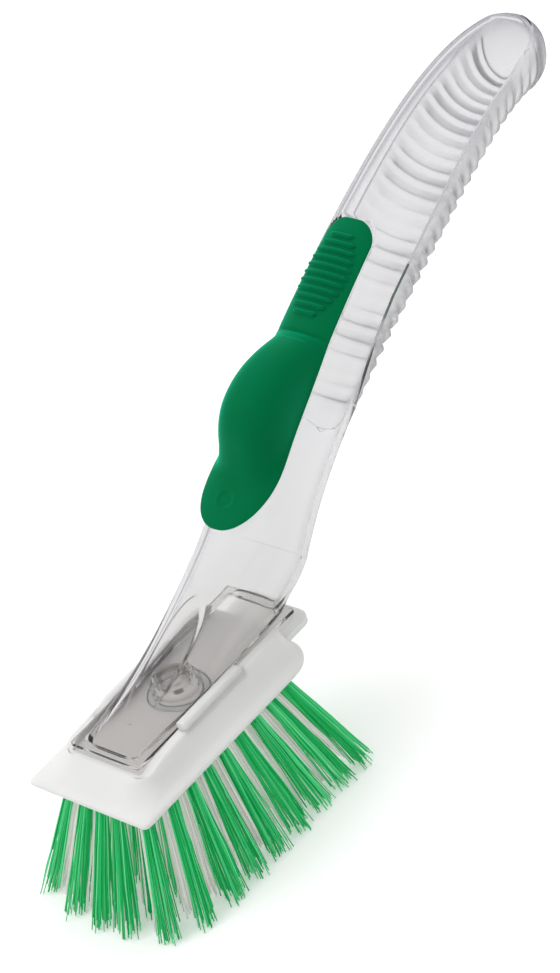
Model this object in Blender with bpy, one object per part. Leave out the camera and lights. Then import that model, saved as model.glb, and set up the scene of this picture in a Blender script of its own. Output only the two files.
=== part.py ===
# A fillable dish wand. Two clear shells make the hollow handle that holds the soap, a soft
# rubber flap with a squeeze bulb closes the filling hole, and a white head with fanned tufts
# slides onto the handle's foot. Metres: X runs from the nose to the tip, Z is up, and the
# foot's underside is at z = 0 until the whole wand is set on the floor at the end.
import random
from math import cos, pi, radians, sin, sqrt

import bmesh
import bpy
import numpy as np
from mathutils import Matrix, Vector

mm = 0.001
clearance = 0.3 * mm  # between pieces that touch
cutter_reach = 60 * mm  # how far a cutter runs past its piece

# handle, measured along its middle line from the neck to the start of the round tip
handle_start_x = 77 * mm
handle_start_z = 19.7 * mm
handle_length = 173 * mm
handle_slopes = (43, 32, 25, 20, -9)  # degrees above level, at even steps
handle_radii = (15.2 * mm, 14.3 * mm, 14.7 * mm, 14.5 * mm, 13.3 * mm, 12.3 * mm)
handle_radius_places = (0, 0.17, 0.46, 0.72, 0.89, 1)  # shares of the length
tip_length = 12.4 * mm
handle_squareness = 2.3  # 2 is an ellipse, more is squarer
shell_wall = 1.8 * mm

# foot and neck
foot_length = 72 * mm
foot_width = 27 * mm
foot_corner = 2 * mm
flange_thickness = 1.5 * mm
sole_thickness = 1.6 * mm
neck_width = 24.6 * mm
neck_squareness = 6
neck_edge = 0.5 * mm  # the neck starts this far inside the foot's outline
neck_front_low = (22 * mm, 6 * mm)  # bends the neck's thumb side
neck_front_high = (50 * mm, 18 * mm)
neck_back_reach = 8 * mm  # bends its finger side, behind the foot
neck_back_height = 4.5 * mm
foot_opening_margin = 5 * mm
foot_opening_slope = 16 * mm
panel_half_width = 6 * mm
panel_height = 0.5 * mm
panel_span = (0.22, 0.76)  # shares of the neck's thumb curve

# seam between the shells: share of the handle's length, and height as a share of the radius
seam_points = (
    (0.208, -1.2),
    (0.231, -1.0),
    (0.283, -0.5),
    (0.382, -0.15),
    (0.474, 0.0),
    (0.694, 0.1),
    (0.925, 0.2),
    (0.988, 0.4),
    (1.023, 0.72),
    (1.046, 1.05),
    (1.058, 1.8),
)

# finger ribs on the back shell
rib_count = 25
rib_first = 45 * mm
rib_margin = 3 * mm  # between the last rib and the start of the round tip
rib_depth = 1.3 * mm
rib_crest = 0.3 * mm
rib_peak = 0.67  # where the crest lies between two roots
rib_waves = 5
rib_fade = 0.45  # share of the radius over which a rib dies out at the seam

# rubber flap, bulb and strap on the thumb side
rubber_thickness = 1 * mm
rubber_sink = 0.7 * mm  # how far its underside lies below the shell's skin
strap_half_width = 10.2 * mm
strap_narrowing = 1.2 * mm  # toward its far end
flap_half_width = 11.3 * mm
tab_tip = 1.8 * mm
tab_length = 22 * mm
tab_thickness = 1.8 * mm
tab_lift = 4 * mm  # the tab's tip stands off the neck
recess_start = 16 * mm
crease_place = 60 * mm
strap_end = 97 * mm
strap_corner = 7 * mm
strap_rib_count = 11
strap_rib_height = 0.8 * mm
strap_rib_first = 66 * mm
strap_rib_last = 91 * mm
strap_rib_reach = 8.4 * mm
strap_rib_shift = 0.8 * mm  # the ribs lie this far toward +Y
dome_height = 14 * mm
dome_place = 37 * mm
dome_start = 18 * mm
dome_wall = 2 * mm
dome_hollow_share = 0.84  # of the dome's half sizes
dome_edge = 0.7  # power of the dome's fall to its rim, lower is fuller
dome_tab_edge = 1.2  # the same toward the tab, where it runs out softly
bulb_half_length = 13.5 * mm
bulb_half_width = 7.6 * mm

# filling hole under the bulb
hole_radius = 7.5 * mm
collar_wall = 1.3 * mm
collar_depth = 6.5 * mm
plug_depth = 5 * mm
plug_taper = 0.7 * mm
plug_wall = 1 * mm
plug_plate_thickness = 1.2 * mm
plug_plate_share = 0.77  # of the dome's half sizes

# valve in the foot
valve_place = 32.5 * mm
housing_radius = 6 * mm
housing_flange = 1.5 * mm
housing_flange_thickness = 1.2 * mm
housing_bore_radius = 4 * mm
housing_wall = 1 * mm
housing_lift = 0.1 * mm  # over the foot plane
valve_thickness = 1.5 * mm
slit_length = 5 * mm
slit_width = 0.3 * mm
retainer_thickness = 0.8 * mm
retainer_bore_radius = 3.2 * mm
outlet_radius = 1.75 * mm
seal_radius = 8 * mm
seal_width = 2 * mm
seal_thickness = 1.6 * mm
seal_bevel = 0.4 * mm

# brush head: levels are shares of the height, side flare, front reach and front corner
block_thickness = 8 * mm
rim_height = 3.6 * mm
rim_wall = 1.6 * mm
block_flare = 8.1 * mm
block_reach = 10.4 * mm
stop_thickness = 1.3 * mm
block_rear = 64 * mm
block_tail = 3 * mm
block_levels = (
    (0, 0.85, 0.9, 0.33),
    (0.147, 1, 1, 0.17),
    (0.224, 0.98, 1, 0.22),
    (0.328, 0.68, 0.79, 0.78),
    (0.474, 0.47, 0.52, 1),
    (0.621, 0.35, 0.24, 0.89),
    (0.767, 0.26, 0.03, 0.67),
    (0.897, 0.17, 0, 0.56),
    (0.974, 0.09, 0, 0.44),
    (1, 0, 0, 0.44),
)
ridge_line = (  # the walls' top edge, length and height from the foot's front
    (0, 0.6 * mm),
    (4 * mm, 1.7 * mm),
    (11 * mm, 2.5 * mm),
    (18 * mm, 2.8 * mm),
    (47 * mm, 3.75 * mm),
)
front_corner = 9 * mm
rear_corner = 6 * mm
rear_corner_growth = 0.5  # of the flare
tongue_half_width = 13 * mm
tongue_length = 11 * mm
tongue_top = -3.8 * mm
tongue_thickness = 2 * mm
tongue_corner = 4 * mm
bead_start = 19 * mm
bead_end = 46 * mm
bead_reach = 0.7 * mm
bead_thickness = 0.85 * mm
bead_gap = 0.35 * mm  # over the foot's flange
bead_root = 1.5 * mm  # height of its fused flank
bead_inset = 0.3 * mm  # of its flank from the wall's inner face
bead_shoulder = 0.8 * mm  # of its flank beyond the wall's top edge
bead_slope = 0.5 * mm
bead_lip = 0.5 * mm
bead_lip_height = 0.4 * mm

# tufts
tuft_length = 36 * mm
tuft_pitch = 7 * mm
row_pitch = 4.6 * mm
row_count = 9
first_tuft = -6 * mm
last_tuft = 54.5 * mm
nose_rounding = 3 * mm  # how far back the outermost rows start
nose_start = 8 * mm  # ahead of this the rows draw together
nose_narrowing = 0.45
strip_overhang = 3.2 * mm
strip_thickness = 2 * mm
tuft_width = 3.8 * mm
tuft_inset = 0.35 * mm
strand_inset = 0.2 * mm
fan_centre = 33 * mm
fan_length = 0.43
fan_width = 0.72
tuft_spread = 1.9
tip_raggedness = 2.5 * mm
pocket_margin = 0.3 * mm

rib_last = handle_length - rib_margin
flange_bottom = sole_thickness + clearance
flange_top = flange_bottom + flange_thickness
deck = -clearance
half_foot = foot_width / 2
rim_inner = half_foot + clearance
rim_outer = rim_inner + rim_wall
rubber_base = -rubber_sink
rubber_top = rubber_base + rubber_thickness
recess_depth = rubber_sink + clearance
tab_end = tab_tip + tab_length
collar_radius = hole_radius - clearance
plug_radius = collar_radius - collar_wall - clearance
pocket_top = strip_thickness + clearance - block_thickness
strip_front = first_tuft - strip_overhang
strip_rear = last_tuft + strip_overhang
strip_width = row_pitch - clearance


def clear_scene():
    for obj in list(bpy.data.objects):
        bpy.data.objects.remove(obj, do_unlink=True)


def make_material(name, colour, roughness, alpha=1.0):
    made = bpy.data.materials.new(name)
    made.use_nodes = True
    shader = made.node_tree.nodes["Principled BSDF"]
    shader.inputs["Base Color"].default_value = (*colour, 1)
    shader.inputs["Roughness"].default_value = roughness
    shader.inputs["Metallic"].default_value = 0
    shader.inputs["Alpha"].default_value = alpha
    return made


def add_object(name, bm, look, parent):
    bmesh.ops.recalc_face_normals(bm, faces=bm.faces)
    mesh = bpy.data.meshes.new(name)
    bm.to_mesh(mesh)
    bm.free()
    mesh.shade_smooth()
    mesh.set_sharp_from_angle(angle=radians(35))
    mesh.materials.append(look)
    obj = bpy.data.objects.new(name, mesh)
    bpy.context.collection.objects.link(obj)
    obj.parent = parent
    return obj


def add_cutter(name, bm, parent):
    cutter = add_object(name, bm, None, parent)
    cutter.hide_render = True
    cutter.display_type = "WIRE"
    return cutter


def combine(obj, cutter, operation):
    boolean = obj.modifiers.new(cutter.name, "BOOLEAN")
    boolean.operation = operation
    boolean.solver = "EXACT"
    boolean.object = cutter


def cut(obj, cutter):
    combine(obj, cutter, "DIFFERENCE")


def add_empty(name, location, parent):
    empty = bpy.data.objects.new(name, None)
    empty.empty_display_size = 0.01
    bpy.context.collection.objects.link(empty)
    empty.parent = parent
    empty.location = location
    return empty


def hang_on(obj, pivot):
    # the mesh stays where it is, and the origin moves to the pivot
    obj.data.transform(Matrix.Translation(-pivot.location))
    obj.parent = pivot


# Shapes

def prism(outline, direction):
    bm = bmesh.new()
    face = bm.faces.new([bm.verts.new(point) for point in outline])
    grown = bmesh.ops.extrude_face_region(bm, geom=[face])
    moved = [item for item in grown["geom"] if isinstance(item, bmesh.types.BMVert)]
    bmesh.ops.translate(bm, verts=moved, vec=direction)
    return bm


def loft(rings):
    bm = bmesh.new()
    loops = [[bm.verts.new(point) for point in ring] for ring in rings]
    count = len(loops[0])
    sides = []
    for low, high in zip(loops, loops[1:]):
        for i in range(count):
            j = (i + 1) % count
            sides.append(bm.faces.new((low[i], low[j], high[j], high[i])))
    bmesh.ops.triangulate(bm, faces=sides)
    bm.faces.new(loops[0])
    bm.faces.new(loops[-1])
    return bm


def slab(top, bottom):
    # a closed solid between two grids of points
    bm = bmesh.new()
    last_row = len(top) - 1
    last_column = len(top[0]) - 1
    rim = [(0, column) for column in range(last_column)]
    rim += [(row, last_column) for row in range(last_row)]
    rim += [(last_row, column) for column in range(last_column, 0, -1)]
    rim += [(row, 0) for row in range(last_row, 0, -1)]
    grids = [[[bm.verts.new(point) for point in row] for row in side] for side in (top, bottom)]
    for grid in grids:
        for near, far in zip(grid, grid[1:]):
            for i in range(last_column):
                bm.faces.new((near[i], near[i + 1], far[i + 1], far[i]))
    upper, lower = grids
    for (r, c), (next_r, next_c) in zip(rim, rim[1:] + rim[:1]):
        bm.faces.new((upper[r][c], upper[next_r][next_c], lower[next_r][next_c], lower[r][c]))
    bmesh.ops.triangulate(bm, faces=bm.faces)
    return bm


def turned(profile, place, count=28):
    # a ring with this closed profile of radii and heights
    bm = bmesh.new()
    loops = []
    for step in range(count):
        angle = 2 * pi * step / count
        loops.append([bm.verts.new((r * cos(angle), r * sin(angle), z)) for r, z in profile])
    for loop, following in zip(loops, loops[1:] + loops[:1]):
        for i, _ in enumerate(profile):
            j = (i + 1) % len(profile)
            bm.faces.new((loop[i], loop[j], following[j], following[i]))
    bmesh.ops.transform(bm, matrix=place, verts=bm.verts)
    return bm


def rod(radius, bottom, top, place, count=28, stretch=1.0):
    bm = bmesh.new()
    middle = Matrix.Translation((0, 0, (bottom + top) / 2))
    where = place @ Matrix.Diagonal((stretch, 1, 1, 1)) @ middle
    size = {"radius1": radius, "radius2": radius, "depth": top - bottom}
    bmesh.ops.create_cone(bm, cap_ends=True, segments=count, matrix=where, **size)
    return bm


def box(low, high):
    corners = ((low[0], low[1]), (high[0], low[1]), (high[0], high[1]), (low[0], high[1]))
    return prism([(x, y, low[2]) for x, y in corners], (0, 0, high[2] - low[2]))


def rounded_plan(front, rear, half_width, front_radius, rear_radius, z, steps=3):
    corners = (
        (rear - rear_radius, half_width - rear_radius, rear_radius, 0),
        (front + front_radius, half_width - front_radius, front_radius, 90),
        (front + front_radius, front_radius - half_width, front_radius, 180),
        (rear - rear_radius, rear_radius - half_width, rear_radius, 270),
    )
    points = []
    for x, y, radius, start in corners:
        for step in range(steps + 1):
            angle = radians(start + 90 * step / steps)
            points.append(Vector((x + radius * cos(angle), y + radius * sin(angle), z)))
    return points


# The handle's line and sections

def bezier(points, share):
    level = [np.array(point, float) for point in points]
    while len(level) > 1:
        level = [a + (b - a) * share for a, b in zip(level, level[1:])]
    return level[0]


def inward_offset(points, share, distance):
    # the point this far to the right of the curve
    step = 0.001
    along = bezier(points, share + step) - bezier(points, share - step)
    along /= np.linalg.norm(along)
    return bezier(points, share) + distance * np.array((along[1], -along[0]))


line_shares = np.linspace(0, 1, 400)
slope_fit = np.polyfit(np.linspace(0, 1, len(handle_slopes)), np.radians(handle_slopes), 4)
radius_fit = np.polyfit(handle_radius_places, handle_radii, 4)
line_slopes = np.polyval(slope_fit, line_shares)
line_step = handle_length / (len(line_shares) - 1)
step_slopes = (line_slopes[1:] + line_slopes[:-1]) / 2
line_x = handle_start_x + np.append(0, np.cumsum(np.cos(step_slopes))) * line_step
line_z = handle_start_z + np.append(0, np.cumsum(np.sin(step_slopes))) * line_step


def handle_station(place, inset=0.0):
    # middle point, thumb direction, half depth, half width and squareness at this distance
    share = min(place / handle_length, 1)
    slope = np.polyval(slope_fit, share)
    centre = np.array((np.interp(share, line_shares, line_x), np.interp(share, line_shares, line_z)))
    radius = np.polyval(radius_fit, share) - inset
    beyond = max(place - handle_length, 0)
    centre = centre + beyond * np.array((cos(slope), sin(slope)))
    radius *= sqrt(max(1 - (beyond / (tip_length - inset)) ** 2, 0))
    thumb = np.array((-sin(slope), cos(slope)))
    return centre, thumb, radius, radius, handle_squareness


def neck_curves():
    centre, thumb, radius, _, _ = handle_station(0)
    middle = flange_bottom + flange_thickness / 2
    front = ((neck_edge, middle), neck_front_low, neck_front_high, centre + radius * thumb)
    bend = (foot_length + neck_back_reach, neck_back_height)
    back = ((foot_length - neck_edge, middle), bend, centre - radius * thumb)
    return front, back


def neck_station(share, inset=0.0):
    front, back = neck_curves()
    upper = inward_offset(front, share, inset)
    lower = inward_offset(back, share, -inset)
    across = upper - lower
    depth = np.linalg.norm(across) / 2
    blend = np.clip((share - 0.3) / 0.7, 0, 1)
    blend = blend * blend * (3 - 2 * blend)
    width = neck_width / 2 + (handle_radii[0] - neck_width / 2) * blend - inset
    squareness = handle_squareness + (neck_squareness - handle_squareness) * (1 - share) ** 1.5
    return (upper + lower) / 2, across / (2 * depth), depth, width, squareness


def skin(station, angle, lift=0.0):
    # a point on the section, at this angle from the thumb side toward +Y
    centre, thumb, depth, width, squareness = station
    forward, sideways = cos(angle), sin(angle)
    reach = (abs(forward) ** squareness + abs(sideways) ** squareness) ** (-1 / squareness)
    x, z = centre + thumb * forward * (reach * depth + lift)
    return Vector((x, sideways * (reach * width + lift), z))


def section(station, count):
    return [skin(station, 2 * pi * i / count) for i in range(count)]


def tip_places(inset=0.0):
    return [handle_length + (tip_length - inset) * sin(radians(angle)) for angle in (25, 48, 68, 82)]


def handle_solid(inset, neck_steps, handle_steps, count):
    stations = [neck_station(share, inset) for share in np.linspace(0, 1, neck_steps)[:-1]]
    stations += [handle_station(place, inset) for place in np.linspace(0, handle_length, handle_steps)]
    stations += [handle_station(place, inset) for place in tip_places(inset)]
    return loft([section(station, count) for station in stations])


def thumb_frame(place):
    # Z along the thumb direction, X along the handle, origin on the skin
    centre, thumb, radius, _, _ = handle_station(place)
    x, z = centre + thumb * radius
    axes = Matrix(((thumb[1], 0, thumb[0]), (0, 1, 0), (-thumb[0], 0, thumb[1])))
    return Matrix.Translation((x, 0, z)) @ axes.to_4x4()


# The clear shells

def seam_line(shift):
    points = []
    for share, height in seam_points:
        centre, thumb, radius, _, _ = handle_station(share * handle_length)
        points.append(centre + thumb * radius * height)
    points = np.array(points)
    along = np.gradient(points, axis=0)
    along /= np.linalg.norm(along, axis=1)[:, None]
    return points + shift * np.column_stack((along[:, 1], -along[:, 0]))


def seam_region(shift):
    # everything on the finger side of the seam, and beyond it at the tip
    line = seam_line(shift)
    far = line[:, 0].max() + cutter_reach
    low = line[0, 1] - cutter_reach
    outline = [*line, (far, line[-1, 1]), (far, low), (line[0, 0], low)]
    half = 3 * handle_radii[0]
    return prism([(x, -half, z) for x, z in outline], (0, 2 * half, 0))


def rib_height(place):
    # a saw tooth, steep toward the tip, that swells in slow waves
    pitch = (rib_last - rib_first) / rib_count
    if not rib_first <= place <= rib_last:
        return 0
    along = (place - rib_first) / pitch
    tooth = along - int(along)
    rise = min(tooth / rib_peak, (1 - tooth) / (1 - rib_peak))
    swell = 0.8 + 0.2 * cos(2 * pi * rib_waves * (place - rib_first) / (rib_last - rib_first))
    return rib_crest - rib_depth * swell * (1 - rise)


def ribbed_solid(count):
    pitch = (rib_last - rib_first) / rib_count
    seam_shares, seam_heights = zip(*seam_points)
    seam_start = seam_shares[0] * handle_length
    seam_open = seam_shares[1] * handle_length
    places = [2 * seam_start - seam_open, seam_open, rib_first - 0.3 * pitch]
    for rib in range(rib_count):
        places += [rib_first + pitch * (rib + share) for share in (0, rib_peak / 2, rib_peak)]
    places += [rib_last, handle_length, *tip_places()]
    rings = []
    for place in places:
        station = handle_station(place)
        seam = np.interp(place / handle_length, seam_shares, seam_heights)
        ring = []
        for i in range(count):
            angle = 2 * pi * i / count
            fade = np.clip((seam - cos(angle)) / rib_fade, 0, 1)
            ring.append(skin(station, angle, rib_height(place) * fade * fade * (3 - 2 * fade)))
        rings.append(ring)
    return loft(rings)


def hollow_solid():
    return handle_solid(shell_wall, 8, 14, 16)


def foot_opening(parent):
    # lets the hollow reach the foot's underside, clear of the sloping front wall
    front, rear = foot_opening_margin, foot_length - shell_wall
    low, high = 0, flange_top + shell_wall
    half = neck_width / 2 - shell_wall
    slope_end = front + foot_opening_slope
    outline = ((front, low), (rear, low), (rear, high), (slope_end, high), (front, flange_bottom))
    bm = prism([(x, -half, z) for x, z in outline], (0, 2 * half, 0))
    return add_cutter("foot_opening", bm, parent)


def oval_panel(parent):
    # the plain raised oval on the neck's thumb side
    front, _ = neck_curves()
    rows = []
    for lift in (panel_height, -shell_wall / 2):
        side = []
        for angle in np.linspace(radians(12), radians(168), 9):
            share = np.interp(-cos(angle), (-1, 1), panel_span)
            centre, thumb, depth, width, squareness = neck_station(share)
            row = []
            for across in np.linspace(-1, 1, 7):
                y = across * panel_half_width * sin(angle)
                rise = (1 - abs(y / width) ** squareness) ** (1 / squareness)
                sink = inward_offset(front, share, -lift) - bezier(front, share)
                x, z = centre + thumb * depth * rise + sink
                row.append(Vector((x, y, z)))
            side.append(row)
        rows.append(side)
    return add_cutter("oval_panel", slab(*rows), parent)


def make_front_shell(look, parent):
    shell = add_object("front_shell", handle_solid(0, 12, 20, 24), look, parent)
    plan = rounded_plan(0, foot_length, half_foot, foot_corner, foot_corner, flange_bottom)
    combine(shell, add_cutter("foot_flange", prism(plan, (0, 0, flange_thickness)), parent), "UNION")
    combine(shell, oval_panel(parent), "UNION")
    cut(shell, add_cutter("front_hollow", hollow_solid(), parent))
    cut(shell, foot_opening(parent))
    cut(shell, add_cutter("front_seam", seam_region(0), parent))
    cut(shell, rubber_recess(parent))
    hole = rod(hole_radius, -3 * shell_wall, 2 * shell_wall, thumb_frame(dome_place))
    cut(shell, add_cutter("filling_hole", hole, parent))
    return shell


def make_back_shell(look, parent):
    shell = add_object("back_shell", ribbed_solid(24), look, parent)
    combine(shell, add_cutter("back_seam", seam_region(clearance), parent), "INTERSECT")
    cut(shell, add_cutter("back_hollow", hollow_solid(), parent))
    return shell


# The rubber pieces

def strap_half(place, grow=0.0):
    # half width of the strap, rounded off at its far corners
    corner = strap_end - strap_corner
    beyond = max(place - corner, 0)
    half = strap_half_width - strap_narrowing * (place - crease_place) / (strap_end - crease_place)
    return half + grow - strap_corner + sqrt(max((strap_corner + grow) ** 2 - beyond ** 2, 0))


def tab_taper(place):
    # 1 at the tab's tip, 0 where the tab meets the bulb
    return max((tab_end - place) / tab_length, 0)


def flap_half(place):
    # half width of the flap, widest beside the bulb and rounded at the tab
    taper = tab_taper(place)
    beyond = max((place - tab_end) / (crease_place - tab_end), 0)
    half = flap_half_width - (flap_half_width - strap_half_width) * beyond ** 3
    return half * sqrt(1 - taper * taper)


def dome(place, across, share=1.0):
    # height left of the bulb at this point, 1 in its middle: a pillow that fills the flap up to
    # the crease, and runs out round toward the tab
    length = crease_place - dome_place if place > dome_place else dome_place - dome_start
    along = min(((place - dome_place) / (length * share)) ** 2, 1)
    side = min((across / (flap_half(place) * share)) ** 2, 1)
    if place > dome_place:
        return ((1 - along) * (1 - side)) ** dome_edge
    square = min(along + side, 1)
    toward_tab = along / max(square, 1e-9)
    return (1 - square) ** (dome_edge + (dome_tab_edge - dome_edge) * toward_tab)


def on_thumb(place, across, height):
    station = handle_station(place)
    return skin(station, across / station[2], height)


def strap_places():
    corner = strap_end - strap_corner
    return [corner + strap_corner * sin(radians(angle)) for angle in (10, 40, 65, 85)]


def strap_relief(place, across):
    pitch = (strap_rib_last - strap_rib_first) / (strap_rib_count - 1)
    rib = round((place - strap_rib_first) / pitch)
    if not 0 <= rib < strap_rib_count or abs(place - strap_rib_first - rib * pitch) > 0.1 * pitch:
        return 0
    middle = (strap_rib_count - 1) / 2
    reach = strap_rib_reach * sqrt(1 - 0.75 * ((rib - middle) / middle) ** 2)
    return strap_rib_height if abs(across - strap_rib_shift) < reach else 0


def make_strap(look, parent):
    start = crease_place + clearance
    pitch = (strap_rib_last - strap_rib_first) / (strap_rib_count - 1)
    places = [start, (start + strap_rib_first) / 2]
    for rib in range(strap_rib_count):
        places += [strap_rib_first + pitch * (rib - 0.4), strap_rib_first + pitch * rib]
    places += strap_places()
    top, bottom = [], []
    for place in places:
        shares = [share * strap_half(place) for share in np.linspace(-1, 1, 11)]
        top.append([on_thumb(place, y, rubber_top + strap_relief(place, y)) for y in shares])
        bottom.append([on_thumb(place, y, rubber_base) for y in shares])
    return add_object("grip_strap", slab(top, bottom), look, parent)


def rubber_recess(parent):
    # the shallow bed in the front shell that the strap and the flap lie in
    places = list(np.linspace(recess_start, crease_place, 10))
    places += [crease_place + clearance, (crease_place + strap_end) / 2, *strap_places()]
    places.append(strap_end + clearance * 0.9)
    top, bottom = [], []
    for place in places:
        half = strap_half(place, clearance) if place > crease_place else flap_half(place) + clearance
        shares = [share * half for share in np.linspace(-1, 1, 9)]
        top.append([on_thumb(place, y, shell_wall) for y in shares])
        bottom.append([on_thumb(place, y, -recess_depth) for y in shares])
    return add_cutter("rubber_recess", slab(top, bottom), parent)


def flap_solid():
    tip_angles = np.linspace(radians(10), radians(90), 8)
    places = [tab_end - tab_length * cos(angle) for angle in tip_angles]
    places += list(np.linspace(tab_end, crease_place - clearance, 12)[1:])
    hollow_height = rubber_top + dome_height - dome_wall - rubber_base
    top, bottom = [], []
    for place in places:
        taper = tab_taper(place)
        lift = tab_lift * taper ** 1.2
        thicker = (tab_thickness - rubber_thickness) * taper
        shares = [share * flap_half(place) for share in np.linspace(-1, 1, 13)]
        heights = [rubber_top + lift + thicker + dome_height * dome(place, y) for y in shares]
        top.append([on_thumb(place, y, height) for y, height in zip(shares, heights)])
        heights = [rubber_base + lift + hollow_height * dome(place, y, dome_hollow_share) for y in shares]
        bottom.append([on_thumb(place, y, height) for y, height in zip(shares, heights)])
    return slab(top, bottom)


def bulb_outline(grow):
    # an upright elliptic cylinder over the filling hole
    width = bulb_half_width + grow
    stretch = (bulb_half_length + grow) / width
    return rod(width, -2 * dome_height, 3 * dome_height, thumb_frame(dome_place), 32, stretch)


def make_flap(look, parent):
    flap = add_object("lift_flap", flap_solid(), look, parent)
    cut(flap, add_cutter("bulb_opening", bulb_outline(clearance), parent))
    return flap


def make_bulb(look, parent):
    bulb = add_object("squeeze_bulb", flap_solid(), look, parent)
    combine(bulb, add_cutter("bulb_edge", bulb_outline(0), parent), "INTERSECT")
    return bulb


def make_collar(look, parent):
    inner = collar_radius - collar_wall
    high = 2 * shell_wall
    profile = ((inner, -collar_depth), (collar_radius, -collar_depth), (collar_radius, high), (inner, high))
    collar = add_object("filler_collar", turned(profile, thumb_frame(dome_place)), look, parent)
    combine(collar, add_cutter("recess_floor", handle_solid(recess_depth, 12, 20, 24), parent), "INTERSECT")
    return collar


def make_plug(look, parent):
    top, bottom = [], []
    for angle in np.linspace(radians(8), radians(172), 11):
        along = -cos(angle) * plug_plate_share
        length = crease_place - dome_place if along > 0 else dome_place - dome_start
        place = dome_place + along * length
        half = flap_half_width * plug_plate_share * sin(angle)
        shares = [share * half for share in np.linspace(-1, 1, 9)]
        top.append([on_thumb(place, y, rubber_base + plug_plate_thickness) for y in shares])
        bottom.append([on_thumb(place, y, rubber_base) for y in shares])
    plug = add_object("plug_core", slab(top, bottom), look, parent)
    frame = thumb_frame(dome_place)
    low = plug_radius - plug_taper
    bore = low - plug_wall
    core = bore / 2
    high = rubber_base + plug_plate_thickness / 2
    profile = ((core, -plug_depth), (low, -plug_depth), (plug_radius, 0), (plug_radius, high), (core, high))
    combine(plug, add_cutter("plug_sleeve", turned(profile, frame), parent), "UNION")
    cut(plug, add_cutter("plug_bore", rod(bore, -2 * plug_depth, 2 * plug_depth, frame), parent))
    return plug


# The foot's sole and its valve

def make_sole(look, parent):
    plan = rounded_plan(0, foot_length, half_foot, foot_corner, foot_corner, 0)
    sole = add_object("sole_plate", prism(plan, (0, 0, sole_thickness)), look, parent)
    hole = rod(housing_radius + clearance, -sole_thickness, 2 * sole_thickness, valve_frame())
    cut(sole, add_cutter("sole_hole", hole, parent))
    return sole


def valve_frame():
    return Matrix.Translation((valve_place, 0, 0))


def make_valve(clear_look, rubber_look, parent):
    ledge = flange_bottom + housing_flange_thickness
    top = ledge + valve_thickness + retainer_thickness + 3 * clearance
    cup = housing_radius - housing_wall
    flange = housing_radius + housing_flange
    profile = (
        (housing_bore_radius, housing_lift),
        (housing_radius, housing_lift),
        (housing_radius, flange_bottom),
        (flange, flange_bottom),
        (flange, ledge),
        (housing_radius, ledge),
        (housing_radius, top),
        (cup, top),
        (cup, ledge),
        (housing_bore_radius, ledge),
    )
    housing = add_object("valve_housing", turned(profile, valve_frame()), clear_look, parent)

    low = ledge + clearance
    disc = rod(cup - clearance, low, low + valve_thickness, valve_frame())
    valve = add_object("slit_valve", disc, rubber_look, parent)
    near = (valve_place - slit_length / 2, -slit_width / 2, 0)
    far = (valve_place + slit_length / 2, slit_width / 2, 3 * top)
    cut(valve, add_cutter("valve_slit", box(near, far), parent))

    low += valve_thickness + clearance
    high = low + retainer_thickness
    outer = cup - clearance
    profile = ((retainer_bore_radius, low), (outer, low), (outer, high), (retainer_bore_radius, high))
    retainer = add_object("valve_retainer", turned(profile, valve_frame()), clear_look, parent)
    return housing, valve, retainer


# The brush head

def block_solid():
    rings = []
    for height, flare, reach, rounding in block_levels:
        z = height * (rim_height + block_thickness) - block_thickness
        front = -clearance - stop_thickness - block_reach * reach
        rear = block_rear + block_tail * flare
        half = rim_outer + block_flare * flare
        corner = rear_corner + (half - rim_outer) * rear_corner_growth
        rings.append(rounded_plan(front, rear, half, front_corner * rounding, corner, z, 5))
    return loft(rings)


def make_block(look, parent):
    block = add_object("brush_block", block_solid(), look, parent)
    body_rear = block_rear + block_tail
    tail = body_rear + tongue_length
    start = block_rear - rear_corner
    plan = rounded_plan(start, tail, tongue_half_width, foot_corner, tongue_corner, tongue_top)
    combine(block, add_cutter("tail_tongue", prism(plan, (0, 0, -tongue_thickness)), parent), "UNION")
    high = 4 * rim_height
    seat = box((-clearance, -rim_inner, deck), (tail + body_rear, rim_inner, high))
    cut(block, add_cutter("foot_seat", seat, parent))
    side = 2 * rim_outer
    outline = ((-foot_length, ridge_line[0][1]), *ridge_line, (ridge_line[-1][0], high), (-foot_length, high))
    ridge = prism([(x, -side, z) for x, z in outline], (0, 2 * side, 0))
    cut(block, add_cutter("ridge_edge", ridge, parent))

    bead_low = flange_top + bead_gap
    bead_high = bead_low + bead_thickness
    flank_low = rim_height - bead_root
    flank_inner = rim_inner + bead_inset
    flank_outer = rim_outer + bead_shoulder
    inner = rim_inner - bead_reach - clearance
    outline = (
        (flank_inner, flank_low),
        (flank_outer, flank_low),
        (flank_outer, bead_high - bead_slope),
        (flank_outer - bead_slope, bead_high),
        (inner + bead_lip, bead_high),
        (inner, bead_high - bead_lip_height),
        (inner, bead_low),
        (flank_inner, bead_low),
    )
    for name, side in (("far_bead", 1), ("near_bead", -1)):
        points = [(bead_start, side * y, z) for y, z in outline]
        bead = prism(points, (bead_end - bead_start, 0, 0))
        combine(block, add_cutter(name, bead, parent), "UNION")

    half = strip_width / 2 + row_pitch * (row_count - 1) / 2 + pocket_margin
    near = (strip_front - pocket_margin, -half, -2 * block_thickness)
    far = (strip_rear + pocket_margin, half, pocket_top)
    cut(block, add_cutter("strip_pocket", box(near, far), parent))
    inner = seal_radius - seal_width / 2 - clearance
    outer = seal_radius + seal_width / 2 + clearance
    low = deck - seal_thickness - clearance
    groove = turned(((inner, low), (outer, low), (outer, high), (inner, high)), valve_frame())
    cut(block, add_cutter("seal_groove", groove, parent))
    outlet = rod(outlet_radius, -2 * block_thickness, high, valve_frame(), 16)
    cut(block, add_cutter("soap_outlet", outlet, parent))
    return block


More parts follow.
